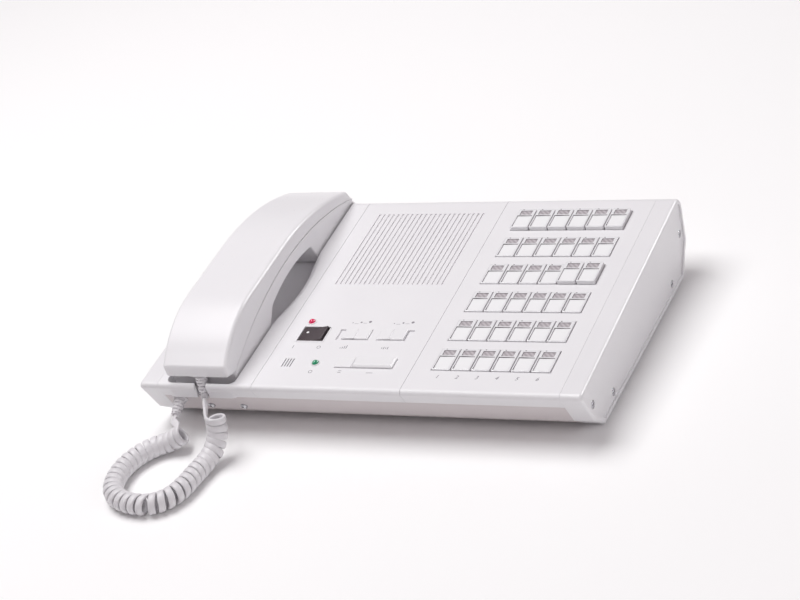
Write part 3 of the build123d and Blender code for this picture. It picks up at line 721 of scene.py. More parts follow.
@dataclass
class Innards:
    """What the case holds: loudspeaker, board, switch bank and hook plunger."""

    finishes: tuple[tuple[str, Finish], ...] = (
        ("loudspeaker", SPEAKER_STEEL), ("main_board", BOARD_LAMINATE),
        ("key_switch_bank", BANK_PHENOLIC), ("hook_plunger", CONTROL_ABS),
    )
    guard_x: float = 56.85
    guard_y: float = 158.0
    guard_width: float = 90.0
    guard_depth: float = 88.0
    guard_drop: float = 2.5
    guard_thickness: float = 0.15
    guard_corner: float = 3.0
    slots: int = 23
    slot_pitch: float = 3.795
    rib_width: float = 1.58
    rib_length: float = 83.96
    rib_drop: float = 0.8
    rib_corner: float = 0.05

    def guard(self) -> None:
        """Form the dust guard, whose ribs stand in the grille's slots."""
        low = -self.guard_drop - self.guard_thickness
        shapes = [block(self.guard_width, self.guard_depth, low, -self.guard_drop, self.guard_corner, 0.0)]
        places = [Matrix.Identity(4)]
        for slot in range(self.slots):
            rise = (-self.guard_drop, -self.rib_drop)
            shapes.append(block(self.rib_width, self.rib_length, *rise, self.rib_corner, 0.0))
            across = (slot - (self.slots - 1) / 2) * self.slot_pitch
            places.append(Matrix.Translation(Vector((across, 0.0, 0.0)) * MM))
        place = PANEL.matrix(PANEL.main_start + self.guard_x, self.guard_y)
        add_piece("grille_guard", join(shapes, places), [GUARD_STYRENE], Body.CASE, place)

    def build(self) -> None:
        """Dress the inner nodes and add the dust guard."""
        for node, finish in self.finishes:
            dress_node(node, finish)
        self.guard()


@dataclass
class Controls:
    """Rocker, slides, buttons, lamps and the marks printed beside them."""

    rocker_x: float = 23.05
    row_y: float = 59.5
    rocker_width: float = 20.5
    rocker_depth: float = 15.5
    bezel: float = 0.9
    bezel_rise: float = 0.35
    bezel_round: float = 0.12
    dot_radius: float = 1.0
    dot_rim: float = 0.03
    dot_height: float = 0.05
    dot_place: Point3 = (-5.66, 2.0, -0.14)
    dot_lean: float = 1.82
    lamps: tuple[tuple[str, float, float, Finish, str], ...] = (
        ("power_lamp", 15.9, 72.7, RED_EPOXY, "red_lens"),
        ("busy_lamp", 38.5, 28.5, GREEN_EPOXY, "green_lens"),
    )
    lamp_radius: float = 2.4
    lamp_rise: float = 2.3
    lamp_foot: float = 14.0
    dome_steps: int = 8
    clip_section: tuple[Point2, ...] = (
        (2.5, 0.0), (3.3, 0.0), (3.3, 0.35), (3.0, 0.6), (2.7, 0.6), (2.5, 0.4), (2.5, 0.0),
    )
    print_height: float = 0.04
    sign_sides: int = 24
    grade_sides: int = 20
    edge: float = 0.25
    grades: tuple[tuple[float, float, float], ...] = (
        (48.0, 72.4, 0.45), (54.4, 73.0, 0.75), (61.0, 73.7, 1.1),
        (80.0, 72.4, 0.45), (86.6, 73.0, 0.75), (93.6, 73.7, 1.1),
    )
    ring_places: tuple[Point2, ...] = ((33.2, 45.4), (38.5, 19.4))
    ring_radius: float = 1.5
    ring_line: float = 0.4
    bar_corner: float = 0.08
    bars: tuple[tuple[float, float, float, float], ...] = (
        (13.2, 45.4, 0.45, 3.2), (50.0, 45.0, 0.6, 1.0), (51.5, 45.4, 0.6, 1.8), (53.0, 45.8, 0.6, 2.6),
        (54.5, 46.2, 0.6, 3.4), (81.5, 45.8, 0.6, 1.2), (83.0, 45.8, 0.6, 2.4), (84.5, 45.8, 0.6, 1.2),
        (86.0, 45.8, 0.6, 2.4), (60.5, 19.4, 2.4, 0.45), (60.5, 21.0, 2.4, 0.45), (83.2, 19.6, 5.0, 0.45),
        (51.2, 71.5, 3.2, 0.25), (57.6, 72.2, 3.0, 0.25), (83.3, 71.5, 3.2, 0.25), (90.0, 72.2, 3.0, 0.25),
    )

    def lamp(self, name: str, x: float, y: float, finish: Finish, slot: str) -> None:
        """Build one domed lamp and its white clip.

        Args:
            name: CAD node of the lamp.
            x: Place from the main cover's left edge.
            y: Place from the front.
            finish: Its tinted epoxy.
            slot: Material slot of the record; not used.
        """
        radius, rise = self.lamp_radius, self.lamp_rise
        angles = [math.pi / 2 * i / self.dome_steps for i in range(self.dome_steps)]
        dome = [(radius * math.cos(a), rise - radius + radius * math.sin(a)) for a in angles]
        shape = lathe([(0.0, -self.lamp_foot), (radius, -self.lamp_foot), *dome, (0.0, rise)], TURNED_SIDES)
        place = PANEL.matrix(PANEL.main_start + x, y)
        piece = add_piece(f"{name}_dome", shape, [finish], Body.CASE, place)
        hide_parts(name)
        shape = lathe(self.clip_section, TURNED_SIDES)
        add_piece(f"{name}_clip", shape, [CONTROL_ABS], Body.CASE, place)

    def rocker(self) -> None:
        """Dress the rocker, with a bezel round it and a white dot on its pressed half."""
        dress_node("power_rocker", ROCKER_PC_AND_HOLE_SHADE, self.edge)
        x, y = self.rocker_width / 2, self.rocker_depth / 2
        rim, rise = self.bezel, self.bezel_rise
        inner = [(-x, -y), (x, -y), (x, y), (-x, y)]
        outer = [(px + math.copysign(rim, px), py + math.copysign(rim, py)) for px, py in inner]
        ring = bmesh.new()
        rows = [
            [ring.verts.new((px * MM, py * MM, height * MM)) for px, py in points]
            for points, height in ((inner, 0.0), (inner, rise), (outer, rise), (outer, 0.0))
        ]
        bridge(ring, rows + rows[:1])
        round_off(ring, list(ring.edges), self.bezel_round, FINE_STEPS)
        place = PANEL.matrix(PANEL.main_start + self.rocker_x, self.row_y)
        add_piece("rocker_bezel", ring, [CONTROL_ABS], Body.CASE, place)
        face = [(0.0, 0.0), (self.dot_radius, 0.0), (self.dot_radius, self.dot_rim), (0.0, self.dot_height)]
        dot = lathe(face, self.sign_sides)
        place = place @ Matrix.Translation(Vector(self.dot_place) * MM)
        place = place @ Matrix.Rotation(math.radians(self.dot_lean), 4, "Y")
        add_piece("rocker_dot", dot, [WHITE_INK], Body.ROCKER, place)

    def marks(self) -> None:
        """Print the growing dots over the slides and plain signs at the controls."""
        start, height = PANEL.main_start, self.print_height
        shapes, places = [], []
        for x, y, radius in self.grades:
            shapes.append(disc(radius, height, self.grade_sides))
            places.append(PANEL.matrix(start + x, y))
        for x, y, width, depth in self.bars:
            shapes.append(block(width, depth, 0.0, height, self.bar_corner, 0.0))
            places.append(PANEL.matrix(start + x, y))
        outer, inner = self.ring_radius, self.ring_radius - self.ring_line
        for x, y in self.ring_places:
            ring = [(inner, 0.0), (outer, 0.0), (outer, height), (inner, height), (inner, 0.0)]
            shapes.append(lathe(ring, self.sign_sides))
            places.append(PANEL.matrix(start + x, y))
        add_piece("printed_signs", join(shapes, places), [PRINT_INK], Body.CASE)

    def build(self) -> None:
        """Dress and build the controls."""
        self.rocker()
        for node in ("voice_knob", "tone_knob", "lock_button", "talk_bar"):
            dress_node(node, CONTROL_ABS, self.edge)
        for lamp in self.lamps:
            self.lamp(*lamp)
        self.marks()


def paint(faces: Iterable[bmesh.types.BMFace], part: KeyPart) -> None:
    """Give faces of a key their material number."""
    for face in faces:
        face.material_index = part.value


@dataclass
class StationKeys:
    """Rows of latching keys, each a clear cap over a white label and a smoked lamp window."""

    columns: int = 6
    rows: int = 6
    block_x: float = 14.15
    block_y: float = 24.08
    pitch: float = 14.21
    row_pitch: float = 30.95
    width: float = 13.35
    depth: float = 21.8
    height: float = 9.0
    proud: float = 0.8
    travel: float = 2.0
    stem: float = 5.0
    stem_length: float = 11.0
    side_rim: float = 1.0
    front_rim: float = 1.1
    label_back: float = 3.2
    window_front: float = 4.0
    window_back: float = 8.9
    window_side: float = 4.4
    label_sink: float = 0.7
    window_sink: float = 0.45
    edge: float = 0.28
    corner: float = 0.9
    raised: tuple[int, ...] = (23, 24, 31, 32, 33, 34, 35, 36)
    number_size: float = 4.7
    number_y: float = 17.6
    number_lean: float = 0.25
    number_rise: float = 0.02
    number_lift: float = 0.03
    stem_corner: float = 0.4
    # Width, depth, underside, top, corner and edge of the notch, a near-black block painted as the shade in
    # the cap's small slot, then its place on the cap.
    notch_block: tuple[float, ...] = (1.1, 0.5, -0.12, 0.03, 0.15, 0.0)
    notch_place: Point3 = (-3.00375, 10.05, 0.0)
    # Cells of the top's grid, by column and row, that are sunk.
    label_cells: tuple[tuple[int, int], ...] = ((1, 1), (2, 1), (3, 1))
    window_cells: tuple[tuple[int, int], ...] = ((2, 3),)

    def top(self) -> tuple[Shape, list[bmesh.types.BMFace], list[bmesh.types.BMFace]]:
        """Flat top of a key, cut by a grid into its rim, label and window.

        Returns:
            The sheet in metres, then the faces of the label and of the window.
        """
        half, front, side = self.width / 2, self.depth / 2, self.side_rim
        columns = [-half, -half + side, -self.window_side, self.window_side, half - side, half]
        rows = [-front, -front + self.front_rim, self.label_back, self.window_front, self.window_back, front]
        shape = bmesh.new()
        grid = [[shape.verts.new((x * MM, y * MM, 0.0)) for y in rows] for x in columns]
        cells = {}
        for i, (left, right) in enumerate(zip(grid, grid[1:])):
            for j in range(len(rows) - 1):
                cells[i, j] = shape.faces.new((left[j], right[j], right[j + 1], left[j + 1]))
        return shape, [cells[c] for c in self.label_cells], [cells[c] for c in self.window_cells]

    def sink(self, shape: Shape, faces: list[bmesh.types.BMFace], depth: float, part: KeyPart) -> None:
        """Sink faces into the cap, which leaves a cut rim round them, striped with painted reflections.

        Args:
            shape: Mesh of the cap.
            faces: Faces to sink.
            depth: How far, in millimetres.
            part: What the sunk floor is.
        """
        made = bmesh.ops.extrude_face_region(shape, geom=faces)
        floor = [g for g in made["geom"] if isinstance(g, bmesh.types.BMFace)]
        bmesh.ops.delete(shape, geom=faces, context="FACES")
        low = {v for f in floor for v in f.verts}
        bmesh.ops.translate(shape, verts=list(low), vec=(0, 0, -depth * MM))
        paint({f for v in low for f in v.link_faces}, KeyPart.RIM)
        paint(floor, part)

    def cap(self) -> bpy.types.Mesh:
        """Mesh of one key, its top at Z nought.

        Returns:
            Mesh in metres with the rim, label, window, stem and notch.
        """
        shape, label, window = self.top()
        skirt = bmesh.ops.extrude_edge_only(shape, edges=[e for e in shape.edges if e.is_boundary])
        low = [v for v in skirt["geom"] if isinstance(v, bmesh.types.BMVert)]
        bmesh.ops.translate(shape, verts=low, vec=(0, 0, -self.height * MM))
        bmesh.ops.holes_fill(shape, edges=[e for e in shape.edges if e.is_boundary])
        # The skirt's sides and back are grey as painted shade in the lines between keys; its front is given
        # the clear cap's acrylic below.
        paint({f for v in low for f in v.link_faces}, KeyPart.STEM)
        bmesh.ops.recalc_face_normals(shape, faces=shape.faces)
        paint([f for f in shape.faces if f.normal.y < -NEARLY], KeyPart.CAP)
        tall = self.height * MM * NEARLY
        posts = [e for e in shape.edges if abs(e.verts[0].co.z - e.verts[1].co.z) > tall]
        posts = [e for e in posts if e.calc_face_angle(0.0) > CORNER_ANGLE]
        round_off(shape, posts, self.corner, ROUND_STEPS, material=KeyPart.CAP.value)
        sharp = [e for e in shape.edges if e.calc_face_angle(0.0) > EDGE_ANGLE]
        round_off(shape, sharp, self.edge, FINE_STEPS, material=KeyPart.CAP.value)
        self.sink(shape, label, self.label_sink, KeyPart.LABEL)
        self.sink(shape, window, self.window_sink, KeyPart.WINDOW)
        foot = -self.height - self.stem_length
        stem = block(self.stem, self.stem, foot, -self.height, self.stem_corner, 0.0)
        paint(stem.faces, KeyPart.STEM)
        # A near-black block at the back edge stands in for the slot there, as painted shade.
        notch = block(*self.notch_block)
        paint(notch.faces, KeyPart.NOTCH_SHADE)
        seat = Matrix.Translation(Vector(self.notch_place) * MM)
        whole = join([shape, stem, notch], [Matrix.Identity(4), Matrix.Identity(4), seat])
        smooth_shading(whole)
        finishes = (KEY_ACRYLIC, KEY_LABEL, KEY_WINDOW, KEY_STEM_AND_GAP_SHADE, ROCKER_PC_AND_HOLE_SHADE, KEY_RIM_PAINTED_REFLECTION)
        return to_mesh("station_key_cap", whole, finishes)

    def column_x(self, column: int) -> float:
        """Middle of a column, from the case's left end."""
        return PANEL.key_start + self.block_x + (column + 0.5) * self.pitch

    def place(self, number: int) -> Matrix:
        """Frame of a key's top by its number from the front left.

        Args:
            number: From one to the number of keys.

        Returns:
            Matrix in metres.
        """
        row, column = divmod(number - 1, self.columns)
        state = KeyState.RAISED if number in self.raised else KeyState.LATCHED
        top = self.proud + (self.travel if state is KeyState.RAISED else 0.0)
        y = self.block_y + row * self.row_pitch + self.depth / 2
        return PANEL.matrix(self.column_x(column), y, top)

    def numbers(self) -> None:
        """Print the plain numbers of the columns in front of the first row."""
        for column in range(self.columns):
            text = bpy.data.curves.new(f"column_number_{column + 1}", "FONT")
            text.body = str(column + 1)
            text.size = self.number_size * MM
            text.shear = self.number_lean
            text.align_x = "CENTER"
            text.extrude = self.number_rise * MM
            text.materials.append(PRINT_INK.material())
            piece = show(text.name, text)
            # A digit is about two thirds of its size high, so its middle is a third up.
            foot = self.number_y - self.number_size / 3
            piece.matrix_world = PANEL.matrix(self.column_x(column), foot, self.number_lift)
            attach(piece, Body.CASE.value)
            log.info("piece %s", piece.name)

    def build(self) -> None:
        """Build every key and the printed numbers."""
        mesh = self.cap()
        for number in range(1, self.rows * self.columns + 1):
            name = f"key_cap_{number:02d}"
            piece = show(name, mesh)
            piece.matrix_world = self.place(number)
            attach(piece, f"key_{number:02d}")
            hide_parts(f"station_key_{number:02d}")
            log.info("piece %s", name)
        self.numbers()


@dataclass
class Handset:
    """Handset of two shells, parted along an arch."""

    start: float = 22.45
    width: float = 51.5
    front: float = 5.0
    front_low: float = 5.0
    front_high: float = 13.2
    front_round: float = 3.2
    crown: float = 34.3
    crown_front: float = 60.0
    crown_back: float = 115.0
    back: float = 219.0
    back_low: float = 1.8
    back_high: float = 10.5
    back_lean: float = 4.0
    back_round: float = 3.6
    parting_bulge: float = 21.0
    mouth_setback: float = 7.0
    relief_lean: float = 20.0
    floor: float = 8.7
    mouth_end: float = 62.0
    grip_start: Point2 = (80.0, 9.0)
    grip_end: Point2 = (147.0, 10.0)
    grip_bulge: float = 4.0
    ear_start: float = 153.0
    ear_end: float = 209.0
    top_edge: float = 2.8
    seam_edge: float = 0.5
    seam_gap: float = 0.35
    seam_tolerance: float = 0.05
    face_edge: float = 1.2
    broad_edge: float = 1.0
    ear_tip_round: float = 3.0
    ear_heel_round: float = 2.5
    grip_back_round: float = 4.0
    grip_front_round: float = 9.0
    mouth_heel_round: float = 6.0
    mouth_tip_round: float = 2.0
    crown_steps: int = 26
    seam_steps: int = 40
    grip_steps: int = 20
    # Steps of an arc that the rounding at its end takes up.
    front_skip: int = 4
    back_skip: int = 3
    grip_skip: int = 4
    hole_radius: float = 1.0
    hole_ring: float = 6.5
    hole_count: int = 8
    hole_height: float = 0.1
    hole_sink: float = 0.05
    hole_sides: int = 16

    @property
    def parting_front(self) -> Point2:
        """Front end of the parting line."""
        drop = self.mouth_setback * math.tan(math.radians(self.relief_lean))
        return (self.front + self.mouth_setback, self.front_low - drop)

    @property
    def parting_back(self) -> Point2:
        """Back end of the parting line."""
        return (self.back, self.back_low)

    def crown_arc(self, foot: Point2, top: Point2) -> list[Point2]:
        """Arc that rises from a foot and runs level into the crown.

        Args:
            foot: Lower end.
            top: End on the crown.

        Returns:
            Points from the foot to the crown.
        """
        run, rise = abs(top[0] - foot[0]), top[1] - foot[1]
        radius = (run**2 + rise**2) / (2 * rise)
        sweep = math.asin(run / radius)
        turn = math.copysign(sweep, top[0] - foot[0])
        return arc((top[0], top[1] - radius), radius, math.pi / 2 + turn, math.pi / 2, self.crown_steps)

    def upper_outline(self) -> list[Point2]:
        """Side view of the upper shell, clockwise from the parting's front end.

        Returns:
            Points as depth and height.
        """
        foot, heel = (self.front, self.front_high), (self.back - self.back_lean, self.back_high)
        rise = self.crown_arc(foot, (self.crown_front, self.crown))
        fall = self.crown_arc(heel, (self.crown_back, self.crown))
        lip = [(*self.parting_front, 0.0), (self.front, self.front_low, 0.0)]
        front = rounded([*lip, (*rise[0], self.front_round), (*rise[self.front_skip], 0.0)])
        heel_end = (*self.parting_back, 0.0)
        back = rounded([(*fall[self.back_skip], 0.0), (*fall[0], self.back_round), heel_end])
        seam = sagitta_arc(self.parting_back, self.parting_front, -self.parting_bulge, self.seam_steps)
        crown = rise[self.front_skip + 1 :] + list(reversed(fall[self.back_skip + 1 :]))
        return front + crown + back + seam[1:-1]

    def lower_outline(self) -> list[Point2]:
        """Side view of the lower shell, clockwise from the parting's front end.

        Returns:
            Points as depth and height.
        """
        tip, low = self.parting_front, -self.floor
        seam = sagitta_arc(tip, self.parting_back, self.parting_bulge - self.seam_gap, self.seam_steps)
        arch = sagitta_arc(self.grip_end, self.grip_start, -self.grip_bulge, self.grip_steps)
        skip = self.grip_skip + 1
        ear = rounded([
            (*self.parting_back, 0.0), (self.ear_end, low, self.ear_tip_round),
            (self.ear_start, low, self.ear_heel_round), (*arch[0], self.grip_back_round),
            (*arch[skip - 1], 0.0),
        ])
        mouth = rounded([
            (*arch[-skip], 0.0), (*arch[-1], self.grip_front_round),
            (self.mouth_end, low, self.mouth_heel_round), (tip[0], low, self.mouth_tip_round), (*tip, 0.0),
        ])
        return seam[:-1] + ear + arch[skip:-skip] + mouth[:-1]

    def shell(self, outline: list[Point2], rim: float) -> Shape:
        """Prism of an outline whose two rims are rounded, finely where the shells part.

        Args:
            outline: Side view of the shell.
            rim: Rounding of the other rims, in millimetres.

        Returns:
            Mesh in metres, in the panel's frame.
        """
        shape = prism(outline, self.start, self.start + self.width)
        shape.transform(LAID_DOWN)
        bmesh.ops.recalc_face_normals(shape, faces=shape.faces)
        seam = sagitta_arc(self.parting_front, self.parting_back, self.parting_bulge, self.seam_steps)
        near = self.seam_gap + self.seam_tolerance
        rims = [e for e in shape.edges if abs(e.verts[0].co.x - e.verts[1].co.x) < TOUCH]
        by_size: dict[float, list[bmesh.types.BMEdge]] = {}
        for edge in rims:
            spots = [vert.co / MM for vert in edge.verts]
            away = max(min(math.hypot(p.y - y, p.z - z) for y, z in seam) for p in spots)
            by_size.setdefault(self.seam_edge if away < near else rim, []).append(edge)
        for size in sorted(by_size, reverse=True):
            edges = [e for e in by_size[size] if e.is_valid]
            steps = BROAD_STEPS if size > self.broad_edge else FINE_STEPS
            round_off(shape, edges, size, steps, clamp_overlap=False)
        sides = [f for f in shape.faces if len(f.verts) > 4]
        bmesh.ops.triangulate(shape, faces=sides, ngon_method="EAR_CLIP")
        return shape

    def holes(self) -> None:
        """Dark discs painted as the shade in the sound holes under the mouthpiece and the earpiece."""
        shapes, places = [], []
        last = self.hole_count - 1
        for middle in ((self.parting_front[0] + self.mouth_end) / 2, (self.ear_start + self.ear_end) / 2):
            ring = arc((0.0, 0.0), self.hole_ring, 0.0, 2 * math.pi * last / self.hole_count, last)
            for x, y in [(0.0, 0.0), *ring]:
                shapes.append(disc(self.hole_radius, self.hole_height, self.hole_sides))
                across = self.start + self.width / 2 + x
                places.append(PANEL.matrix(across, middle + y, -self.floor - self.hole_sink))
        add_piece("sound_hole_shade", join(shapes, places), [ROCKER_PC_AND_HOLE_SHADE], Body.HANDSET)

    def build(self) -> None:
        """Build both shells and the dark discs of painted shade in the sound holes."""
        for name, outline, edge, node in (
            ("handset_back", self.upper_outline(), self.top_edge, "handset_upper_shell"),
            ("handset_face", self.lower_outline(), self.face_edge, "handset_lower_shell"),
        ):
            shape = self.shell(outline, edge)
            piece = add_piece(name, shape, [HANDSET_ABS], Body.HANDSET, PANEL.matrix())
            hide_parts(node)
        self.holes()


@dataclass
class CurlyCord:
    """Curly cord of flat section between the handset and the case, with a slotted relief at each end."""

    wire: float = 3.0
    coil_radius: float = 5.8
    rest_gap: float = 0.2
    band_width: float = 4.9
    band_thickness: float = 2.3
    band_sides: int = 16
    band_squareness: float = 0.72
    base_curls: float = 20.0
    handset_curls: float = 16.125
    loose_curl_share: float = 0.012
    points_per_curl: int = 16
    lead_reach: float = 3.0
    lead_steps: tuple[float, ...] = (0.0, 1.0, 1.8)
    lead_turn_share: float = 0.5
    lead_facing: Point3 = (0.37, -0.93, 0.0)
    tail_points: int = 10
    route_resolution: int = 12
    curl_resolution: int = 3
    sharp_degrees: float = 60.0
    length: float = 1385.0
    route: tuple[Point3, ...] = (
        (-128.3, -127.8, 6.2), (-137.4, -130.0, 1.1), (-148.2, -134.8, 0.0), (-156.0, -144.6, 0.0),
        (-160.4, -157.0, 0.0), (-160.4, -170.0, 0.0), (-156.6, -183.0, 0.0), (-146.8, -192.8, 0.0),
        (-132.5, -197.6, 0.0), (-118.0, -197.2, 0.0), (-107.4, -189.8, 0.0), (-102.8, -177.5, 0.0),
        (-101.9, -164.0, 0.0), (-99.9, -149.4, 0.0), (-97.3, -141.7, 3.2), (-95.3, -135.8, 9.2),
        (-94.1, -132.6, 17.2), (-93.8, -131.9, 25.4),
    )
    relief_length: float = 13.0
    relief_radius: float = 4.4
    relief_tip_radius: float = 3.2
    relief_rows: int = 5
    relief_sides: int = 48
    relief_levels: int = 60
    slot_depth: float = 0.95
    slot_count: int = 4
    slot_stagger: float = 0.5
    slot_rise: Point2 = (0.42, 0.78)
    slot_turn: Point2 = (0.14, 0.86)
    flange_width: float = 10.0
    flange_depth: float = 6.0
    flange_height: float = 1.2
    flange_corner: float = 1.2
    flange_edge: float = 0.4
    base_x: float = 26.0
    base_drop: float = 16.0
    handset_x: float = 34.2
    blend_start: Point3 = (-0.1314, -0.1960, 0.0)
    blend_end: Point3 = (-0.1138, -0.19864, 0.0)

    def line(self, points: Sequence[Vector], resolution: int) -> list[Vector]:
        """Points along a smooth spline, read from the mesh that Blender makes of it.

        Args:
            points: Control points in metres.
            resolution: Points for each control point.

        Returns:
            Points in metres.
        """
        curve = bpy.data.curves.new("cord_line", "CURVE")
        curve.dimensions = "3D"
        spline = curve.splines.new("NURBS")
        spline.points.add(len(points) - 1)
        for point, place in zip(spline.points, points):
            point.co = (*place, 1.0)
        spline.order_u = 3
        spline.use_endpoint_u = True
        spline.resolution_u = resolution
        holder = show("cord_line", curve)
        bpy.context.view_layer.update()
        mesh = bpy.data.meshes.new_from_object(holder.evaluated_get(bpy.context.evaluated_depsgraph_get()))
        spots = [vert.co.copy() for vert in mesh.vertices]
        bpy.data.objects.remove(holder)
        bpy.data.curves.remove(curve)
        bpy.data.meshes.remove(mesh)
        return spots

    def limb_reach(self, share: float) -> float:
        """How far along a limb a share of its turns is wound, as the curls tighten away from the loosest.

        Args:
            share: Share of the limb's turns, from its loosest curl.

        Returns:
            Share of the limb's length.
        """
        slack = self.loose_curl_share
        span = math.sqrt(1 + slack**2) - slack
        return math.sqrt((slack + share * span) ** 2 - slack**2)

    def helix(self) -> tuple[list[Vector], list[Vector]]:
        """Curls wound round the route's own smooth line.

        Returns:
            Points in metres from the case's end to the handset's, and the way out of the coil at each.
        """
        height = self.coil_radius + self.wire / 2 + self.rest_gap
        route = [Vector((x, y, height + rise)) * MM for x, y, rise in self.route]
        spots = self.line(route, self.route_resolution)
        reach = [0.0]
        for first, last in zip(spots, spots[1:]):
            reach.append(reach[-1] + (last - first).length)
        curls = self.base_curls + self.handset_curls
        base_length = reach[-1] * self.base_curls / curls
        # A spline of this order runs this much inside control points on a circle.
        shrink = (1 + math.cos(math.pi / self.points_per_curl)) / 2
        radius = self.coil_radius + (self.wire - self.band_thickness) / 2
        points, ways = [], []
        steps = round(curls * self.points_per_curl)
        place = 0
        for step in range(steps + 1):
            curl = curls * step / steps
            if curl <= self.base_curls:
                along = base_length * (1 - self.limb_reach(1 - curl / self.base_curls))
            else:
                share = self.limb_reach((curl - self.base_curls) / self.handset_curls)
                along = base_length + (reach[-1] - base_length) * share
            while place < len(reach) - 2 and reach[place + 1] < along:
                place += 1
            share = (along - reach[place]) / (reach[place + 1] - reach[place])
            middle = spots[place].lerp(spots[place + 1], share)
            heading = (spots[place + 1] - spots[place]).normalized()
            across = Vector((-heading.y, heading.x, 0.0)).normalized()
            angle = 2 * math.pi * curl
            ways.append(heading.cross(across) * math.cos(angle) + across * math.sin(angle))
            points.append(middle + ways[-1] * radius / shrink * MM)
        return points, ways

    def band(self, name: str, path: list[Vector], rim: list[Vector], part: range) -> bpy.types.Object:
        """Flat tube along a part of a path, its broad side facing the way to a second line beside it.

        Args:
            name: Name of the piece.
            path: Middle of the whole cord in metres.
            rim: The second line, point for point.
            part: Numbers of the path's points that this piece follows.

        Returns:
            The new object, which rides on nothing yet.
        """
        shape = bmesh.new()
        rings = []
        turns = [2 * math.pi * k / self.band_sides for k in range(self.band_sides)]
        square = self.band_squareness
        section = [[math.copysign(abs(v) ** square, v) for v in (math.cos(t), math.sin(t))] for t in turns]
        for i in part:
            spot = path[i]
            ahead = (path[min(i + 1, len(path) - 1)] - path[max(i - 1, 0)]).normalized()
            way = rim[i] - spot
            way = (way - ahead * way.dot(ahead)).normalized() * self.band_thickness / 2 * MM
            broad = ahead.cross(way).normalized() * self.band_width / 2 * MM
            rings.append([shape.verts.new(spot + way * c + broad * d) for c, d in section])
        bridge(shape, rings)
        shape.faces.new(reversed(rings[0]))
        shape.faces.new(rings[-1])
        bmesh.ops.recalc_face_normals(shape, faces=shape.faces)
        smooth_shading(shape, self.sharp_degrees)
        piece = show(name, to_mesh(name, shape, [CORD_VINYL]))
        log.info("piece %s", name)
        return piece

    def relief(self) -> Shape:
        """Tapered sleeve on a thin flange, with staggered rows of short slots.

        Returns:
            Mesh in metres, standing on Z nought.
        """
        foot, length = self.flange_height, self.relief_length - self.flange_height
        profile = [(0.0, foot)]
        for level in range(self.relief_levels + 1):
            share = level / self.relief_levels
            radius = self.relief_radius + (self.relief_tip_radius - self.relief_radius) * share
            profile.append((radius, foot + length * share))
        profile.append((0.0, self.relief_length))
        sleeve = lathe(profile, self.relief_sides)
        pitch = length / self.relief_rows
        for vert in sleeve.verts:
            out = math.hypot(vert.co.x, vert.co.y)
            if out < TOUCH:
                continue
            rise = (vert.co.z / MM - foot) / pitch
            row = math.floor(rise)
            turn = math.atan2(vert.co.y, vert.co.x) / math.pi * self.slot_count / 2
            turn = (turn + self.slot_stagger * (row % 2)) % 1.0
            in_rise = self.slot_rise[0] < rise - row < self.slot_rise[1] and row < self.relief_rows
            if in_rise and self.slot_turn[0] < turn < self.slot_turn[1]:
                vert.co.x *= 1 - self.slot_depth * MM / out
                vert.co.y *= 1 - self.slot_depth * MM / out
        size = (self.flange_width, self.flange_depth, 0.0, self.flange_height)
        flange = block(*size, self.flange_corner, self.flange_edge)
        return join([sleeve, flange])

    def build(self) -> None:
        """Build the reliefs and the cord, whose lead rides on the handset."""
        base = PANEL.front_matrix(self.base_x, self.base_drop)
        handset = Handset()
        lip = (handset.front, handset.front_low)
        seat = [(a + b) / 2 for a, b in zip(lip, handset.parting_front)]
        lean = math.pi - math.radians(handset.relief_lean)
        top = PANEL.matrix(PANEL.end_cap_width + self.handset_x, *seat) @ Matrix.Rotation(lean, 4, "X")
        for name, body, place, node in (
            ("case_relief", Body.CASE, base, "base_strain_relief"),
            ("handset_relief", Body.HANDSET, top, "handset_strain_relief"),
        ):
            piece = add_piece(name, self.relief(), [CORD_VINYL], body, place)
            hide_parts(node)
        curls, ways = self.helix()
        out = [Vector((0.0, 0.0, (self.relief_length + self.wire * k) * MM)) for k in self.lead_steps]
        near = curls[0] - (curls[1] - curls[0]).normalized() * self.lead_reach * MM
        far = curls[-1] + (curls[-1] - curls[-2]).normalized() * self.lead_reach * MM
        points = [base @ p for p in out] + [near] + curls + [far] + [top @ p for p in reversed(out)]
        lead = len(out) + 1
        facing = Vector(self.lead_facing)
        turns = [ways[-1].lerp(facing, self.lead_turn_share)] + [facing] * (lead - 1)
        ways = [ways[0]] * lead + ways + turns
        path = self.line(points, self.curl_resolution)
        rim = self.line([point + way * MM for point, way in zip(points, ways)], self.curl_resolution)
        end = len(path) - self.tail_points
        cord = self.band("curly_cord_band", path, rim, range(end + 1))
        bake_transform(cord)
        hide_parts("curly_cord")
        tail = self.band("handset_lead", path, rim, range(end, len(path)))
        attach(tail, Body.HANDSET.value)


@dataclass(frozen=True)
class Softbox:
    """Soft square light that looks at the object, in metres and watts."""

    name: str
    place: Point3
    size: float
    power: float
    use: LightUse

    def build(self) -> None:
        """Add the light, which lights the object or only shows as a highlight."""
        light = bpy.data.lights.new(self.name, "AREA")
        light.size = self.size
        light.energy = self.power
        holder = show(self.name, light)
        holder.location = self.place
        holder.rotation_euler = (-Vector(self.place)).to_track_quat("-Z", "Y").to_euler()
        holder.visible_diffuse = self.use is LightUse.LIGHT


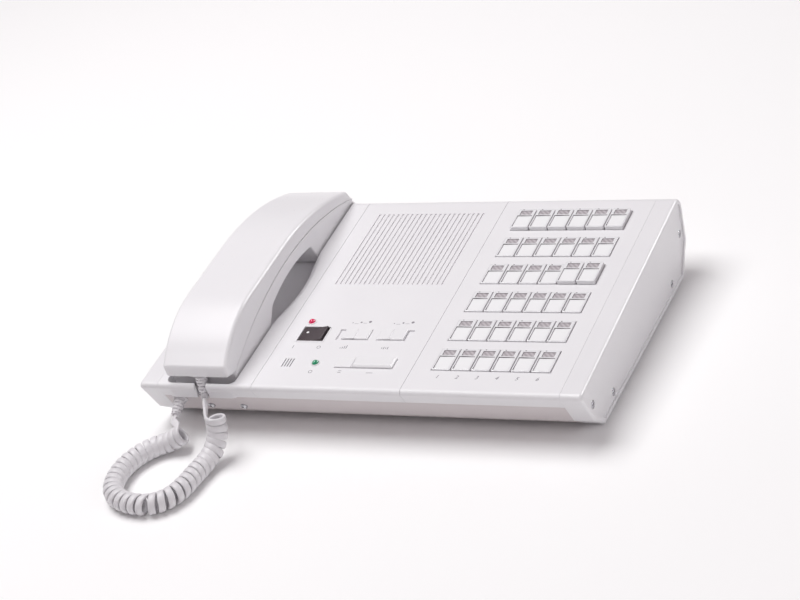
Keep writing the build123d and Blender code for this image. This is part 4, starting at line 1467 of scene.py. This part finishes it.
@dataclass
class Studio:
    """Floor, soft lights and the camera at the photograph's viewing angle, in metres."""

    camera_place: Point3 = (0.69592, -1.12654, 0.79502)
    camera_right: Point3 = (0.88712, 0.38790, -0.25011)
    camera_up: Point3 = (-0.00743, 0.55383, 0.83260)
    lens: float = 99.02
    sensor: float = 36.0
    floor_size: float = 8.0
    sky: float = 0.28
    sky_colour: str = "#fff4f8"
    lights: tuple[Softbox, ...] = (
        Softbox("key_softbox", (-0.6, 0.12, 1.9), 1.3, 32.0, LightUse.LIGHT),
        Softbox("fill_softbox", (1.5, -0.6, 0.9), 1.2, 5.4, LightUse.LIGHT),
        Softbox("rim_softbox", (1.07, 1.28, 0.75), 0.8, 26.0, LightUse.HIGHLIGHT),
        Softbox("edge_softbox", (-0.7, -0.85, 1.2), 0.5, 5.0, LightUse.HIGHLIGHT),
    )

    def floor(self) -> None:
        """Lay the pale floor."""
        half = self.floor_size / 2
        mesh = bpy.data.meshes.new("studio_floor")
        corners = [(-half, -half, 0), (half, -half, 0), (half, half, 0), (-half, half, 0)]
        mesh.from_pydata(corners, [], [(0, 1, 2, 3)])
        mesh.materials.append(FLOOR_PAINT.material())
        show("studio_floor", mesh)

    def build(self) -> None:
        """Build the sky, the lights, the floor and the camera."""
        scene = bpy.context.scene
        scene.view_settings.view_transform = "Standard"
        world = bpy.data.worlds.new("studio_sky")
        world.use_nodes = True
        sky = world.node_tree.nodes["Background"].inputs
        sky["Color"].default_value = linear(self.sky_colour)
        sky["Strength"].default_value = self.sky
        scene.world = world
        for light in self.lights:
            light.build()
        self.floor()
        right, up = Vector(self.camera_right), Vector(self.camera_up)
        turn = Matrix((right, up, right.cross(up))).transposed().to_4x4()
        view = bpy.data.cameras.new("camera")
        view.lens = self.lens
        view.sensor_width = self.sensor
        scene.camera = show("camera", view)
        scene.camera.matrix_world = Matrix.Translation(self.camera_place) @ turn


def main() -> None:
    """Build every sub-assembly in order."""
    logging.basicConfig(level=logging.INFO, format="%(name)s: %(message)s")
    for assembly in (Studio(), CurlyCord(), CaseShell(), Innards(), Controls(), StationKeys(), Handset()):
        log.info("building %s", type(assembly).__name__)
        assembly.build()


if __name__ == "__main__":
    main()
